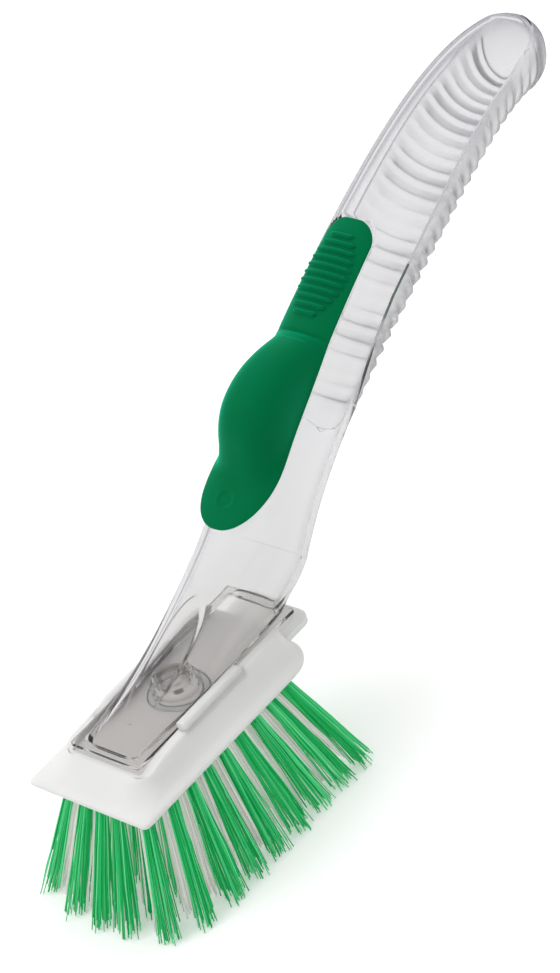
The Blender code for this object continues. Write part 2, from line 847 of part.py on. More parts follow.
def make_seal(look, parent):
    inner = seal_radius - seal_width / 2
    outer = seal_radius + seal_width / 2
    low = deck - seal_thickness
    profile = (
        (inner + seal_bevel, low),
        (outer - seal_bevel, low),
        (outer, low + seal_bevel),
        (outer, deck - seal_bevel),
        (outer - seal_bevel, deck),
        (inner + seal_bevel, deck),
        (inner, deck - seal_bevel),
        (inner, low + seal_bevel),
    )
    return add_object("inlet_seal", turned(profile, valve_frame()), look, parent)


def row_squeeze(x):
    # how far the rows have drawn together at this length
    return 1 - nose_narrowing * (max(nose_start - x, 0) / (nose_start - strip_front)) ** 1.5


def tuft_strip(row, places, chance):
    # a strip whose underside carries one tuft of four fanned strands at each place
    middle = row_pitch * (row - (row_count - 1) / 2)
    half = strip_width / 2
    low = -block_thickness
    stops = [strip_front]
    for place in places:
        stops += [place - tuft_width / 2, place + tuft_width / 2]
    stops.append(strip_rear)
    bm = bmesh.new()
    under = []
    for y in (middle - half, middle + half):
        under.append([bm.verts.new((x, y * row_squeeze(x), low)) for x in stops])
    cells = []
    for i in range(len(stops) - 1):
        cells.append(bm.faces.new((under[0][i], under[1][i], under[1][i + 1], under[0][i + 1])))
    grown = bmesh.ops.extrude_face_region(bm, geom=cells, use_keep_orig=True)
    moved = [item for item in grown["geom"] if isinstance(item, bmesh.types.BMVert)]
    bmesh.ops.translate(bm, verts=moved, vec=(0, 0, strip_thickness))
    for place, cell in zip(places, cells[1::2]):
        y = middle * row_squeeze(place)
        root = Vector((place, y, low))
        fanned = place + fan_length * (place - fan_centre)
        tip = Vector((fanned, y * (1 + fan_width), low - tuft_length))
        bmesh.ops.inset_individual(bm, faces=[cell], thickness=tuft_inset)
        quarters = bmesh.ops.poke(bm, faces=[cell])["faces"]
        bmesh.ops.inset_individual(bm, faces=quarters, thickness=strand_inset)
        for strand in bmesh.ops.extrude_discrete_faces(bm, faces=quarters)["faces"]:
            short = max(chance.uniform(-tip_raggedness, tip_raggedness), 0)
            for vert in strand.verts:
                offset = vert.co - root
                vert.co = tip + Vector((offset.x * tuft_spread, offset.y * tuft_spread, short))
    return bm


def make_tufts(green, pale, parent):
    chance = random.Random(7)
    names = {}
    strips = []
    for row in range(row_count):
        kind, look, shift = ("pale_tufts", pale, tuft_pitch / 2) if row % 2 else ("green_tufts", green, 0)
        names[kind] = names.get(kind, 0) + 1
        offset = row / (row_count - 1) * 2 - 1
        start = first_tuft + nose_rounding * offset ** 4 + shift
        end = last_tuft - shift
        places = list(np.linspace(start, end, round((end - start) / tuft_pitch) + 1))
        middle = row == (row_count - 1) / 2
        if middle:
            reach = tuft_width / 2 + outlet_radius
            places = [place for place in places if abs(place - valve_place) > reach]
        name = f"{kind}_{names[kind]}"
        strip = add_object(name, tuft_strip(row, places, chance), look, parent)
        if middle:
            hole = rod(outlet_radius, -2 * block_thickness, 0, valve_frame(), 16)
            cut(strip, add_cutter("strip_outlet", hole, parent))
        strips.append(strip)
    return strips


def stand_on_floor(root, nodes):
    # the model's origin goes to the bottom middle of its box
    depsgraph = bpy.context.evaluated_depsgraph_get()
    points = []
    for obj in nodes:
        solid = obj.evaluated_get(depsgraph)
        points += [solid.matrix_world @ vert.co for vert in solid.data.vertices]
    points = np.array(points)
    middle = (points.min(axis=0) + points.max(axis=0)) / 2
    root.location = (-middle[0], -middle[1], -points[:, 2].min())


def build():
    clear_scene()
    clear = make_material("clear_plastic", (0.86, 0.88, 0.9), 0.06, 0.35)
    rubber = make_material("green_rubber", (0.0, 0.3, 0.12), 0.5)
    soft = make_material("clear_silicone", (0.8, 0.82, 0.82), 0.45)
    white = make_material("white_plastic", (0.82, 0.82, 0.8), 0.35)
    green = make_material("green_bristle", (0.02, 0.4, 0.12), 0.4)
    pale = make_material("pale_bristle", (0.6, 0.58, 0.56), 0.4)

    wand = add_empty("dish_wand", (0, 0, 0), None)
    handle = add_empty("handle", (0, 0, 0), wand)
    crease = on_thumb(crease_place, 0, rubber_top)
    flap_pivot = add_empty("flap_pivot", crease, handle)
    centre = thumb_frame(dome_place) @ Vector((0, 0, rubber_top + dome_height))
    bulb_slide = add_empty("bulb_slide", centre, handle)
    head = add_empty("head", (0, 0, 0), wand)

    nodes = [
        make_front_shell(clear, handle),
        make_back_shell(clear, handle),
        make_sole(clear, handle),
        make_collar(clear, handle),
        make_strap(rubber, handle),
        *make_valve(clear, soft, handle),
    ]
    flap_pieces = [make_flap(rubber, handle), make_plug(rubber, handle)]
    bulb = make_bulb(rubber, handle)
    nodes += [*flap_pieces, bulb, make_block(white, head), make_seal(soft, head)]
    nodes += make_tufts(green, pale, head)
    for piece in flap_pieces:
        hang_on(piece, flap_pivot)
    hang_on(bulb, bulb_slide)
    bpy.context.view_layer.update()
    stand_on_floor(wand, nodes)
    bpy.context.view_layer.update()


build()
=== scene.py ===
# Dress for a fillable dish wand: clear soap handle, green rubber grip with a squeeze bulb,
# white slide-on head and fanned bristles, on a white studio floor.
from math import atan, cos, pi, radians, sin, sqrt

import bmesh
import bpy
import numpy as np
from mathutils import Matrix, Vector


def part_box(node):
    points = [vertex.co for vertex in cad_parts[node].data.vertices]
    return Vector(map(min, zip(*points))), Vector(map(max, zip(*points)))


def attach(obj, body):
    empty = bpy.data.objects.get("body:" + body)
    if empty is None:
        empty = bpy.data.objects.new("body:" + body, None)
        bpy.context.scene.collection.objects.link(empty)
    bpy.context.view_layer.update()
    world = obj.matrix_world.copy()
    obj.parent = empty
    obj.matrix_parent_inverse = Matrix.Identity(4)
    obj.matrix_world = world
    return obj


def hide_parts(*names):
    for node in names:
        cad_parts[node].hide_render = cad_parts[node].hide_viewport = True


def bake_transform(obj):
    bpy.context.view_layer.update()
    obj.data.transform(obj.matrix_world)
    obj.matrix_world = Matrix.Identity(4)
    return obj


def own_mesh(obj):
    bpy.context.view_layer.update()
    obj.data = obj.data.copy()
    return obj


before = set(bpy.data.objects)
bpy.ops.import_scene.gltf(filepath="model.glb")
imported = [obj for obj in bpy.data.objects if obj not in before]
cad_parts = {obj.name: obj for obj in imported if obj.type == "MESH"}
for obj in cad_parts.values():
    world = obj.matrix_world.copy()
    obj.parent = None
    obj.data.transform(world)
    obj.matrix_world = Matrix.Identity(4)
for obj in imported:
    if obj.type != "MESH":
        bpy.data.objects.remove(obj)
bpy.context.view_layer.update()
print("frame loaded")

mm = 0.001
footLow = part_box("sole_plate")[0]
footOrigin = Vector((footLow.x, 0, footLow.z))  # front edge of the foot, on its underside

handle = {
    "start": (77 * mm, 19.7 * mm),
    "length": 173 * mm,
    "slopes": (43, 32, 25, 20, -9),  # degrees, evenly spaced
    "radii": (15.2 * mm, 14.3 * mm, 14.7 * mm, 14.5 * mm, 13.3 * mm, 12.3 * mm),
    "radiusShares": (0, 0.17, 0.46, 0.72, 0.89, 1),
    "tip": 12.4 * mm,
    "squareness": 2.3,
    "wall": 1.8 * mm,
    "fillingHole": 7.5 * mm,
    "frontEnd": 7.7 * mm,  # how far the thumb-side shell reaches into the round tip
    "columns": 168,  # points round the shell
    "stations": 152,  # sections along it
    "tipStations": 12,
}
neck = {
    "length": 72 * mm,
    "edge": 0.5 * mm,
    "level": 2.65 * mm,
    "frontLow": (22 * mm, 6 * mm),
    "frontHigh": (50 * mm, 18 * mm),
    "backReach": 8 * mm,
    "backHeight": 4.5 * mm,
    "width": 24.6 * mm,
    "squareness": 6,
    "squareFade": 1.5,
    "blendStart": 0.3,
    "start": 0.025,
    "stations": 124,
}
seam = {
    "points": (  # place in mm, and height as a share of the radius
        (36, -1.2), (40, -1.0), (49, -0.5), (66, -0.15), (82, 0.0), (120, 0.1), (160, 0.2), (171, 0.4),
        (177, 0.72), (181, 1.05), (183, 1.8)),
    "gap": 0.05 * mm,
    "lip": 0.4 * mm,
    "lipWidth": 1.1 * mm,
    "lipStart": 150 * mm,
    "lipFade": 18 * mm,
}
ribs = {
    "count": 26,
    "first": 45 * mm,
    "last": 175 * mm,
    "depth": 1.35 * mm,
    "crest": 0.3 * mm,
    "waves": 5,
    "swell": 0.2,
    "fade": 0.45,
    "peak": 0.67,
    "fullness": 0.8,
    "crownStart": 0.8,
    "crownDrop": 0.4,
    "stations": (0, 0.08, 0.2, 0.34, 0.48, 0.58, 0.63, 0.67, 0.71, 0.78, 0.88, 0.95),  # within one rib
    "columns": 96,
    "shellStart": 40.05 * mm,
}
rubber = {
    "top": 0.3 * mm,
    "under": -0.7 * mm,
    "strapHalf": 10.2 * mm,
    "strapNarrowing": 1.2 * mm,
    "strapDrop": 0.35 * mm,
    "flapHalf": 11.3 * mm,
    "flapDrop": 0.4 * mm,
    "parting": 57.5 * mm,
    "crease": 60 * mm,
    "foldDepth": 0.35 * mm,
    "foldWidth": 0.55 * mm,
    "bend": (58.2 * mm, 61.8 * mm),
    "strapEnd": 97 * mm,
    "strapCorner": 7 * mm,
    "tabTip": 1.8 * mm,
    "tabLength": 22 * mm,
    "tabThickness": 1.8 * mm,
    "tabLift": 4 * mm,
    "tabCurl": 1.2,
    "flatness": 0.51,
    "flatEnd": 35 * mm,
    "flatFade": 12 * mm,
    "edgeRound": 0.45 * mm,
}
bed = {
    "start": 16 * mm,
    "depth": 1.0 * mm,
    "gap": 0.3 * mm,
    "soft": 0.5 * mm,
    "reach": 13 * mm,
}
thumbMark = {
    "place": 10.2 * mm,
    "across": 0.6 * mm,
    "ring": 2.6 * mm,
    "ringWidth": 0.35 * mm,
    "ringHeight": 0.12 * mm,
    "radius": 2.4 * mm,
    "depth": 0.28 * mm,
    "soft": 0.5 * mm,
}
bulb = {
    "height": 12.7 * mm,
    "place": 35.3 * mm,
    "start": 16 * mm,
    "wall": 2 * mm,
    "hollowShare": 0.84,
    "edge": 1.02,
    "tabEdge": 1.3,
    "squareness": 2.74,
    "skirt": 1.9,
    "travel": 3 * mm,
}


# Mesh helpers

def bezier(points, share):
    level = [np.array(point, float) for point in points]
    while len(level) > 1:
        level = [a + (b - a) * share for a, b in zip(level, level[1:])]
    return level[0]


def smoothStep(value):
    value = np.clip(value, 0, 1)
    return value * value * (3 - 2 * value)


def makePiece(name, bm, material, smoothAngle=35):
    # merges doubles, turns the faces outwards and keeps edges past the angle sharp
    bmesh.ops.remove_doubles(bm, verts=bm.verts, dist=0.002 * mm)
    bmesh.ops.dissolve_degenerate(bm, edges=bm.edges, dist=0.001 * mm)
    bmesh.ops.recalc_face_normals(bm, faces=bm.faces)
    mesh = bpy.data.meshes.new(name)
    bm.to_mesh(mesh)
    bm.free()
    mesh.shade_smooth()
    mesh.set_sharp_from_angle(angle=radians(smoothAngle))
    mesh.materials.append(material)
    piece = bpy.data.objects.new(name, mesh)
    bpy.context.scene.collection.objects.link(piece)
    return piece


def roundOff(distance, reach):
    # 0 past the reach and 1 at the rim, on a quarter circle
    return 1 - sqrt(max(1 - (1 - max(distance / reach, 0)) ** 2, 0)) if distance < reach else 0


def addGrid(bm, rows, closeRows=False):
    # a sheet of quads over rows of points, returned as rows of vertices
    grid = [[bm.verts.new(point) for point in row] for row in rows]
    for near, far in zip(grid, grid[1:]):
        for i in range(len(near) - 1):
            bm.faces.new((near[i], near[i + 1], far[i + 1], far[i]))
        if closeRows:
            bm.faces.new((near[-1], near[0], far[0], far[-1]))
    return grid


def bridge(bm, first, second):
    for a, b, c, d in zip(first, first[1:], second[1:], second):
        bm.faces.new((a, b, c, d))


def slabBetween(top, bottom):
    # a closed solid between two sheets of points
    bm = bmesh.new()
    upper = addGrid(bm, top)
    lower = addGrid(bm, bottom)
    bridge(bm, upper[0], lower[0])
    bridge(bm, upper[-1], lower[-1])
    bridge(bm, [row[0] for row in upper], [row[0] for row in lower])
    bridge(bm, [row[-1] for row in upper], [row[-1] for row in lower])
    return bm


def applyModifiers(piece):
    bpy.context.view_layer.update()
    graph = bpy.context.evaluated_depsgraph_get()
    solid = bpy.data.meshes.new_from_object(piece.evaluated_get(graph))
    piece.modifiers.clear()
    piece.data = solid
    return piece


def boolean(piece, cutter, operation):
    step = piece.modifiers.new("cut", "BOOLEAN")
    step.solver = "EXACT"
    step.operation = operation
    step.object = cutter
    applyModifiers(piece)
    bpy.data.objects.remove(cutter)


def prism(outline, direction):
    bm = bmesh.new()
    low = [bm.verts.new(point) for point in outline]
    high = [bm.verts.new(Vector(point) + Vector(direction)) for point in outline]
    bm.faces.new(low)
    bm.faces.new(high[::-1])
    bridge(bm, low + low[:1], high + high[:1])
    return bm


def addPeg(name, matrix, radius, depth, segments, material):
    # a round cutter
    bm = bmesh.new()
    bmesh.ops.create_cone(bm, cap_ends=True, segments=segments, radius1=radius, radius2=radius, depth=depth,
                          matrix=matrix)
    return makePiece(name, bm, material)


def roundedPlan(front, rear, half, frontRadius, rearRadius, z, steps=8):
    corners = (
        (rear - rearRadius, half - rearRadius, rearRadius, 0),
        (front + frontRadius, half - frontRadius, frontRadius, 90),
        (front + frontRadius, frontRadius - half, frontRadius, 180),
        (rear - rearRadius, rearRadius - half, rearRadius, 270),
    )
    points = []
    for x, y, radius, start in corners:
        for step in range(steps + 1):
            angle = radians(start + 90 * step / steps)
            points.append(footOrigin + Vector((x + radius * cos(angle), y + radius * sin(angle), z)))
    return points


# Materials

def newMaterial(name, colour, roughness):
    material = bpy.data.materials.new(name)
    material.use_nodes = True
    shader = material.node_tree.nodes["Principled BSDF"]
    shader.inputs["Base Color"].default_value = (*colour, 1)
    shader.inputs["Roughness"].default_value = roughness
    return material, material.node_tree, shader


def setInputs(node, inputs):
    # numbers and colours go on the sockets, and other nodes' sockets are linked to them
    for key, value in inputs.items():
        if isinstance(value, bpy.types.NodeSocket):
            node.id_data.links.new(value, node.inputs[key])
        else:
            node.inputs[key].default_value = value


def addNode(tree, kind, inputs=None, **settings):
    node = tree.nodes.new(kind)
    for key, value in settings.items():
        setattr(node, key, value)
    setInputs(node, inputs or {})
    return node


def addMath(tree, operation, *values):
    return addNode(tree, "ShaderNodeMath", dict(enumerate(values)), operation=operation).outputs[0]


def addVectorMath(tree, operation, *values):
    node = addNode(tree, "ShaderNodeVectorMath", dict(enumerate(values)), operation=operation)
    return node.outputs[1 if operation in ("LENGTH", "DISTANCE", "DOT_PRODUCT") else 0]


def addStage(tree, kind, shape, inputs=None, **settings):
    # a geometry node that takes one shape in and gives one out
    return addNode(tree, "GeometryNode" + kind, {0: shape, **(inputs or {})}, **settings).outputs[0]


def addNoise(tree, scale, detail=3, stretch=(1, 1, 1)):
    # soft noise over the piece's own coordinates, scale in patches per metre
    place = addNode(tree, "ShaderNodeTexCoord").outputs["Object"]
    stretched = addNode(tree, "ShaderNodeMapping", {"Scale": stretch, "Vector": place}).outputs[0]
    noise = addNode(tree, "ShaderNodeTexNoise", {"Scale": scale, "Detail": detail, "Vector": stretched})
    return noise.outputs["Fac"]


def addRange(tree, source, low, high):
    reach = addNode(tree, "ShaderNodeMapRange", {"Value": source, "To Min": low, "To Max": high})
    return reach.outputs["Result"]


def addFade(tree, source, start, end):
    # 0 before the start, 1 after the end, and soft between them
    return addNode(tree, "ShaderNodeMapRange", {"Value": source, "From Min": start, "From Max": end},
                   interpolation_type="SMOOTHSTEP").outputs["Result"]


def addBump(tree, shader, source, strength, distance):
    bump = addNode(tree, "ShaderNodeBump", {"Strength": strength, "Distance": distance, "Height": source})
    setInputs(shader, {"Normal": bump.outputs["Normal"]})


def addRamp(tree, source, stops):
    ramp = addNode(tree, "ShaderNodeValToRGB", {"Fac": source})
    elements = ramp.color_ramp.elements
    for element, (position, colour) in zip((elements[0], elements[1]), (stops[0], stops[-1])):
        element.position, element.color = position, (*colour, 1)
    for position, colour in stops[1:-1]:
        elements.new(position).color = (*colour, 1)
    return ramp.outputs["Color"]


def addMix(tree, share, first, second, blend="MIX"):
    # of two colours
    inputs = {0: share, 6: first, 7: second}
    return addNode(tree, "ShaderNodeMix", inputs, data_type="RGBA", blend_type=blend).outputs[2]


def addFinish(tree, shader, patches, darker, lighter, grain, roughness, strength, depth):
    # soft patches of colour, and a fine grain in the gloss and in the relief
    fine = addNoise(tree, *grain)
    setInputs(shader, {
        "Base Color": addRamp(tree, addNoise(tree, patches), ((0.3, darker), (0.7, lighter))),
        "Roughness": addRange(tree, fine, *roughness),
    })
    addBump(tree, shader, fine, strength, depth)


clearFinish = {
    # facing values where the painted edge shade starts and where it is a third of the way to the rim colour
    "edgeShadeStops": (0.35, 0.8),
    "paintedFootShade": (0.97, 0.96, 0.95),  # painted shade: the clear plastic is warmer and greyer toward the foot
    "footShadeHeight": 34 * mm,
    "flow": 60,
    "flowStretch": (0.35, 1, 1),
    "flowStrength": 0.12,
    "flowDepth": 0.6 * mm,
    "speckle": 900,
}


def makeClearPlastic(name, centre, rim, roughness, density=1.46, shadow=(0.965, 0.962, 0.958), speckled=0.4):
    # moulded clear plastic: nearly white face on, with a painted grey violet shade where it turns away that
    # stands in for the dark edges it refracts, and it lets lamps through
    material, tree, shader = newMaterial(name, centre, roughness)
    # painted shade: the base colour darkens toward the grey violet rim colour as the surface turns away
    facing = addNode(tree, "ShaderNodeLayerWeight", {"Blend": 0.5}).outputs["Facing"]
    halfEdgeShade = tuple((2 * c + r) / 3 for c, r in zip(centre, rim))
    first, second = clearFinish["edgeShadeStops"]
    edgeShade = addRamp(tree, facing, ((first, centre), (second, halfEdgeShade), (1, rim)))
    # painted shade: the base colour turns warm grey toward the foot and fades out higher up
    place = addNode(tree, "ShaderNodeTexCoord").outputs["Object"]
    height = addNode(tree, "ShaderNodeSeparateXYZ", {"Vector": place}).outputs["Z"]
    upward = addFade(tree, height, footOrigin.z, footOrigin.z + clearFinish["footShadeHeight"])
    footShade = addRamp(tree, upward, ((0, clearFinish["paintedFootShade"]), (1, (1, 1, 1))))
    flow = addNoise(tree, clearFinish["flow"], 2, clearFinish["flowStretch"])
    addBump(tree, shader, flow, clearFinish["flowStrength"], clearFinish["flowDepth"])
    speckle = addNoise(tree, clearFinish["speckle"], 2)
    setInputs(shader, {
        "Transmission Weight": 1,
        "IOR": density,
        "Base Color": addMix(tree, 1.0, edgeShade, footShade, "MULTIPLY"),
        "Roughness": addRange(tree, speckle, roughness * (1 - speckled), roughness * (1 + speckled)),
    })
    passShadows(tree, shader, shadow)
    return material


def passShadows(tree, shader, colour):
    # light from the lamps goes through, tinted
    clear = addNode(tree, "ShaderNodeBsdfTransparent", {"Color": (*colour, 1)})
    light = addNode(tree, "ShaderNodeLightPath").outputs["Is Shadow Ray"]
    mix = addNode(tree, "ShaderNodeMixShader", {
        "Fac": light, 1: shader.outputs["BSDF"], 2: clear.outputs["BSDF"]})
    setInputs(tree.nodes["Material Output"], {"Surface": mix.outputs["Shader"]})


def makeRubber():
    # matt and deep green, with a pale bloom where it turns away
    material, tree, shader = newMaterial("soft green rubber", (0.0, 0.16, 0.052), 0.5)
    addFinish(tree, shader, patches=55, darker=(0.0, 0.15, 0.048), lighter=(0.0, 0.17, 0.057),
              grain=(2600, 4), roughness=(0.42, 0.6), strength=0.12, depth=0.06 * mm)
    setInputs(shader, {"Specular IOR Level": 0.03, "Sheen Weight": 1, "Sheen Roughness": 0.4,
                       "Sheen Tint": (0.0, 0.95, 0.55, 1)})
    return material


def makeHeadPlastic():
    material, tree, shader = newMaterial("white head plastic", (0.85, 0.85, 0.83), 0.34)
    addFinish(tree, shader, patches=40, darker=(0.83, 0.83, 0.81), lighter=(0.865, 0.865, 0.85),
              grain=(1800, 3), roughness=(0.28, 0.42), strength=0.08, depth=0.05 * mm)
    setInputs(shader, {"Subsurface Weight": 0.35, "Subsurface Radius": (1, 1, 1), "Subsurface Scale": 4 * mm})
    return material


def makeBristleMaterial(name, dark, middle, light, shadow, glow):
    # each strand keeps one shade, from its own attribute, and the glow stands for light scattered along it
    material, tree, shader = newMaterial(name, middle, 0.35)
    shade = addNode(tree, "ShaderNodeAttribute", attribute_name="strandShade").outputs["Fac"]
    colour = addRamp(tree, shade, ((0, dark), (0.5, middle), (1, light)))
    setInputs(shader, {
        "Base Color": colour,
        "Roughness": addRange(tree, addNoise(tree, 900, 2, (1, 1, 0.08)), 0.28, 0.46),
        "Specular IOR Level": 0.35,
        "Emission Color": colour,
        "Emission Strength": glow,
    })
    passShadows(tree, shader, shadow)
    return material


def makeMilky():
    material, tree, shader = newMaterial("milky silicone", (0.78, 0.8, 0.8), 0.4)
    grain = addNoise(tree, 1500)
    shades = (0.2, (0.72, 0.74, 0.74)), (0.8, (0.82, 0.84, 0.84))
    setInputs(shader, {"Base Color": addRamp(tree, grain, shades)})
    addBump(tree, shader, grain, 0.1, 0.05 * mm)
    return material


clearTint = (0.955, 0.955, 0.96)
# the second colour of each clear plastic is its painted edge shade
clearPlastic = makeClearPlastic("clear moulded plastic", clearTint, (0.4, 0.38, 0.46), 0.06)
ribbedPlastic = makeClearPlastic("clear ribbed plastic", clearTint, (0.28, 0.26, 0.35), 0.3, speckled=0.03)
footPlastic = makeClearPlastic("clear foot plastic", (0.97, 0.97, 0.97), (0.42, 0.4, 0.46), 0.04,
                               density=1.28)
clearInner = makeClearPlastic("clear inner plastic", (0.99, 0.99, 0.99), (0.93, 0.93, 0.94), 0.1,
                              density=1.05, shadow=(0.98, 0.98, 0.98))
greenRubber = makeRubber()
headPlastic = makeHeadPlastic()
milkySilicone = makeMilky()
greenBristle = makeBristleMaterial("green bristle", (0.0, 0.32, 0.075), (0.008, 0.5, 0.13), (0.15, 0.72, 0.34),
                                   shadow=(0.1, 0.12, 0.1), glow=0.24)
paleBristle = makeBristleMaterial("pale bristle", (0.64, 0.61, 0.6), (0.76, 0.73, 0.72), (0.87, 0.85, 0.84),
                                  shadow=(0.15, 0.15, 0.15), glow=0.26)
print("materials made")


# The handle's line and sections, measured from the front edge of the foot

lineShares = np.linspace(0, 1, 400)
slopeFit = np.polyfit(np.linspace(0, 1, len(handle["slopes"])), np.radians(handle["slopes"]), 4)
radiusFit = np.polyfit(handle["radiusShares"], handle["radii"], 4)
lineSlopes = np.polyval(slopeFit, lineShares)
lineStep = handle["length"] / (len(lineShares) - 1)
stepSlopes = (lineSlopes[1:] + lineSlopes[:-1]) / 2
lineX = handle["start"][0] + np.append(0, np.cumsum(np.cos(stepSlopes))) * lineStep
lineZ = handle["start"][1] + np.append(0, np.cumsum(np.sin(stepSlopes))) * lineStep


def handleStation(place, inset=0.0):
    # middle, thumb direction, half depth, half width and squareness at this distance
    length, tip = handle["length"], handle["tip"]
    share = min(place / length, 1)
    slope = np.polyval(slopeFit, share)
    centre = np.array((np.interp(share, lineShares, lineX), np.interp(share, lineShares, lineZ)))
    radius = np.polyval(radiusFit, share) - inset
    beyond = max(place - length, 0)
    centre = centre + beyond * np.array((cos(slope), sin(slope)))
    radius *= sqrt(max(1 - (beyond / (tip - inset)) ** 2, 0))
    return centre, np.array((-sin(slope), cos(slope))), radius, radius, handle["squareness"]


neckCentre, neckThumb, neckRadius = handleStation(0)[:3]
neckFront = ((neck["edge"], neck["level"]), neck["frontLow"], neck["frontHigh"],
             neckCentre + neckRadius * neckThumb)
neckBack = ((neck["length"] - neck["edge"], neck["level"]),
            (neck["length"] + neck["backReach"], neck["backHeight"]), neckCentre - neckRadius * neckThumb)


def inwardOffset(points, share, distance):
    step = 0.001
    along = bezier(points, share + step) - bezier(points, share - step)
    along /= np.linalg.norm(along)
    return bezier(points, share) + distance * np.array((along[1], -along[0]))


def neckStation(share, inset=0.0):
    upper = inwardOffset(neckFront, share, inset)
    lower = inwardOffset(neckBack, share, -inset)
    across = upper - lower
    depth = np.linalg.norm(across) / 2
    blend = smoothStep((share - neck["blendStart"]) / (1 - neck["blendStart"]))
    width = neck["width"] / 2 + (handle["radii"][0] - neck["width"] / 2) * blend - inset
    squarer = (1 - share) ** neck["squareFade"]
    square = handle["squareness"] + (neck["squareness"] - handle["squareness"]) * squarer
    return (upper + lower) / 2, across / (2 * depth), depth, width, square


def skinPoint(station, angle, lift=0.0):
    centre, thumb, depth, width, square = station
    forward, sideways = cos(angle), sin(angle)
    reach = (abs(forward) ** square + abs(sideways) ** square) ** (-1 / square)
    x, z = centre + thumb * forward * (reach * depth + lift)
    return footOrigin + Vector((x, sideways * (reach * width + lift), z))


def onThumb(place, across, height):
    station = handleStation(place)
    return skinPoint(station, across / station[2], height)


def thumbFrame(place):
    centre, thumb, radius = handleStation(place)[:3]
    x, z = centre + thumb * radius
    axes = Matrix(((thumb[1], 0, thumb[0]), (0, 1, 0), (-thumb[0], 0, thumb[1])))
    return Matrix.Translation(footOrigin + Vector((x, 0, z))) @ axes.to_4x4()


# Clear shells

def seamHeight(place):
    places, heights = zip(*seam["points"])
    return np.interp(place / mm, places, heights)


def seamAngle(place):
    # how far round from the thumb side the seam lies
    height = seamHeight(place)
    if height <= -1:
        return pi
    if height >= 1:
        return 0
    square = handle["squareness"]
    size = max(abs(height), 1e-6)
    angle = atan((size ** -square - 1) ** (1 / square))
    return angle if height > 0 else pi - angle


def tabTaper(place):
    return max((rubber["tabTip"] + rubber["tabLength"] - place) / rubber["tabLength"], 0)


def flapHalf(place):
    taper = tabTaper(place)
    tabEnd = rubber["tabTip"] + rubber["tabLength"]
    beyond = max((place - tabEnd) / (rubber["crease"] - tabEnd), 0)
    half = rubber["flapHalf"] - (rubber["flapHalf"] - rubber["strapHalf"]) * beyond ** 3
    return half * sqrt(max(1 - taper * taper, 0))


def strapHalf(place, grow=0.0):
    corner = rubber["strapEnd"] - rubber["strapCorner"]
    beyond = max(place - corner, 0)
    share = (place - rubber["crease"]) / (rubber["strapEnd"] - rubber["crease"])
    half = rubber["strapHalf"] - rubber["strapNarrowing"] * share
    return half + grow - rubber["strapCorner"] + sqrt(max((rubber["strapCorner"] + grow) ** 2 - beyond ** 2, 0))


def rubberBed(place, across):
    # depth of the shallow bed that the rubber lies in
    gap, soft = bed["gap"], bed["soft"]
    if abs(across) >= bed["reach"] or not bed["start"] - gap < place < rubber["strapEnd"] + gap:
        return 0
    half = strapHalf(place, gap) if place > rubber["crease"] else flapHalf(place) + gap
    inside = half - abs(across)
    lengthwise = min(place - bed["start"] + gap, rubber["strapEnd"] + gap - place)
    return -bed["depth"] * float(smoothStep(inside / soft) * smoothStep(lengthwise / soft))


panel = {
    "low": 0.17,
    "high": 0.74,
    "half": 6.4 * mm,
    "squareness": 2.6,
    "height": 0.65 * mm,
}


def panelLift(share, across):
    # the bare raised oval on the neck
    low, high = panel["low"], panel["high"]
    along = (share - (low + high) / 2) / ((high - low) / 2)
    if abs(along) >= 1:
        return 0
    distance = (panel["half"] * (1 - abs(along) ** panel["squareness"]) ** 0.5 - abs(across)) / mm
    return panel["height"] * float(smoothStep(distance))


def seamLip(place, angle, edge):
    # the rim that runs round the tip where the shells meet
    if edge >= pi:
        return 0
    distance = abs(edge - angle) * max(handleStation(place)[2], mm)
    rise = smoothStep((place - seam["lipStart"]) / seam["lipFade"])
    return seam["lip"] * float(rise) * float(np.exp(-(distance / seam["lipWidth"]) ** 2))


def ribHeight(place):
    if not ribs["first"] <= place <= ribs["last"]:
        return 0
    length = ribs["last"] - ribs["first"]
    along = (place - ribs["first"]) / (length / ribs["count"])
    tooth = along - int(along)
    rise = min(tooth / ribs["peak"], (1 - tooth) / (1 - ribs["peak"]))
    rise = rise ** ribs["fullness"] - ribs["crownDrop"] * max(rise - ribs["crownStart"], 0) ** 2
    wave = cos(2 * pi * ribs["waves"] * (place - ribs["first"]) / length)
    swell = 1 - ribs["swell"] + ribs["swell"] * wave
    return ribs["crest"] - ribs["depth"] * swell * (1 - rise)


def tipPlaces(last=89.0, steps=14):
    # outer and inner places over the round tip
    angles = np.linspace(0, last, steps + 1)[1:]
    length, tip, wall = handle["length"], handle["tip"], handle["wall"]
    return [(length + tip * sin(radians(a)), length + (tip - wall) * sin(radians(a))) for a in angles]


def shellBetween(outer, inner, opened):
    # a wall between two skins, closed at its start and along its open edges
    bm = bmesh.new()
    skin, hollow = addGrid(bm, outer), addGrid(bm, inner)
    bridge(bm, skin[0], hollow[0])
    for i, isOpen in enumerate(opened):
        for side in (0, -1) if isOpen else ():
            bm.faces.new((skin[i][side], skin[i + 1][side], hollow[i + 1][side], hollow[i][side]))
    return bm, skin, hollow


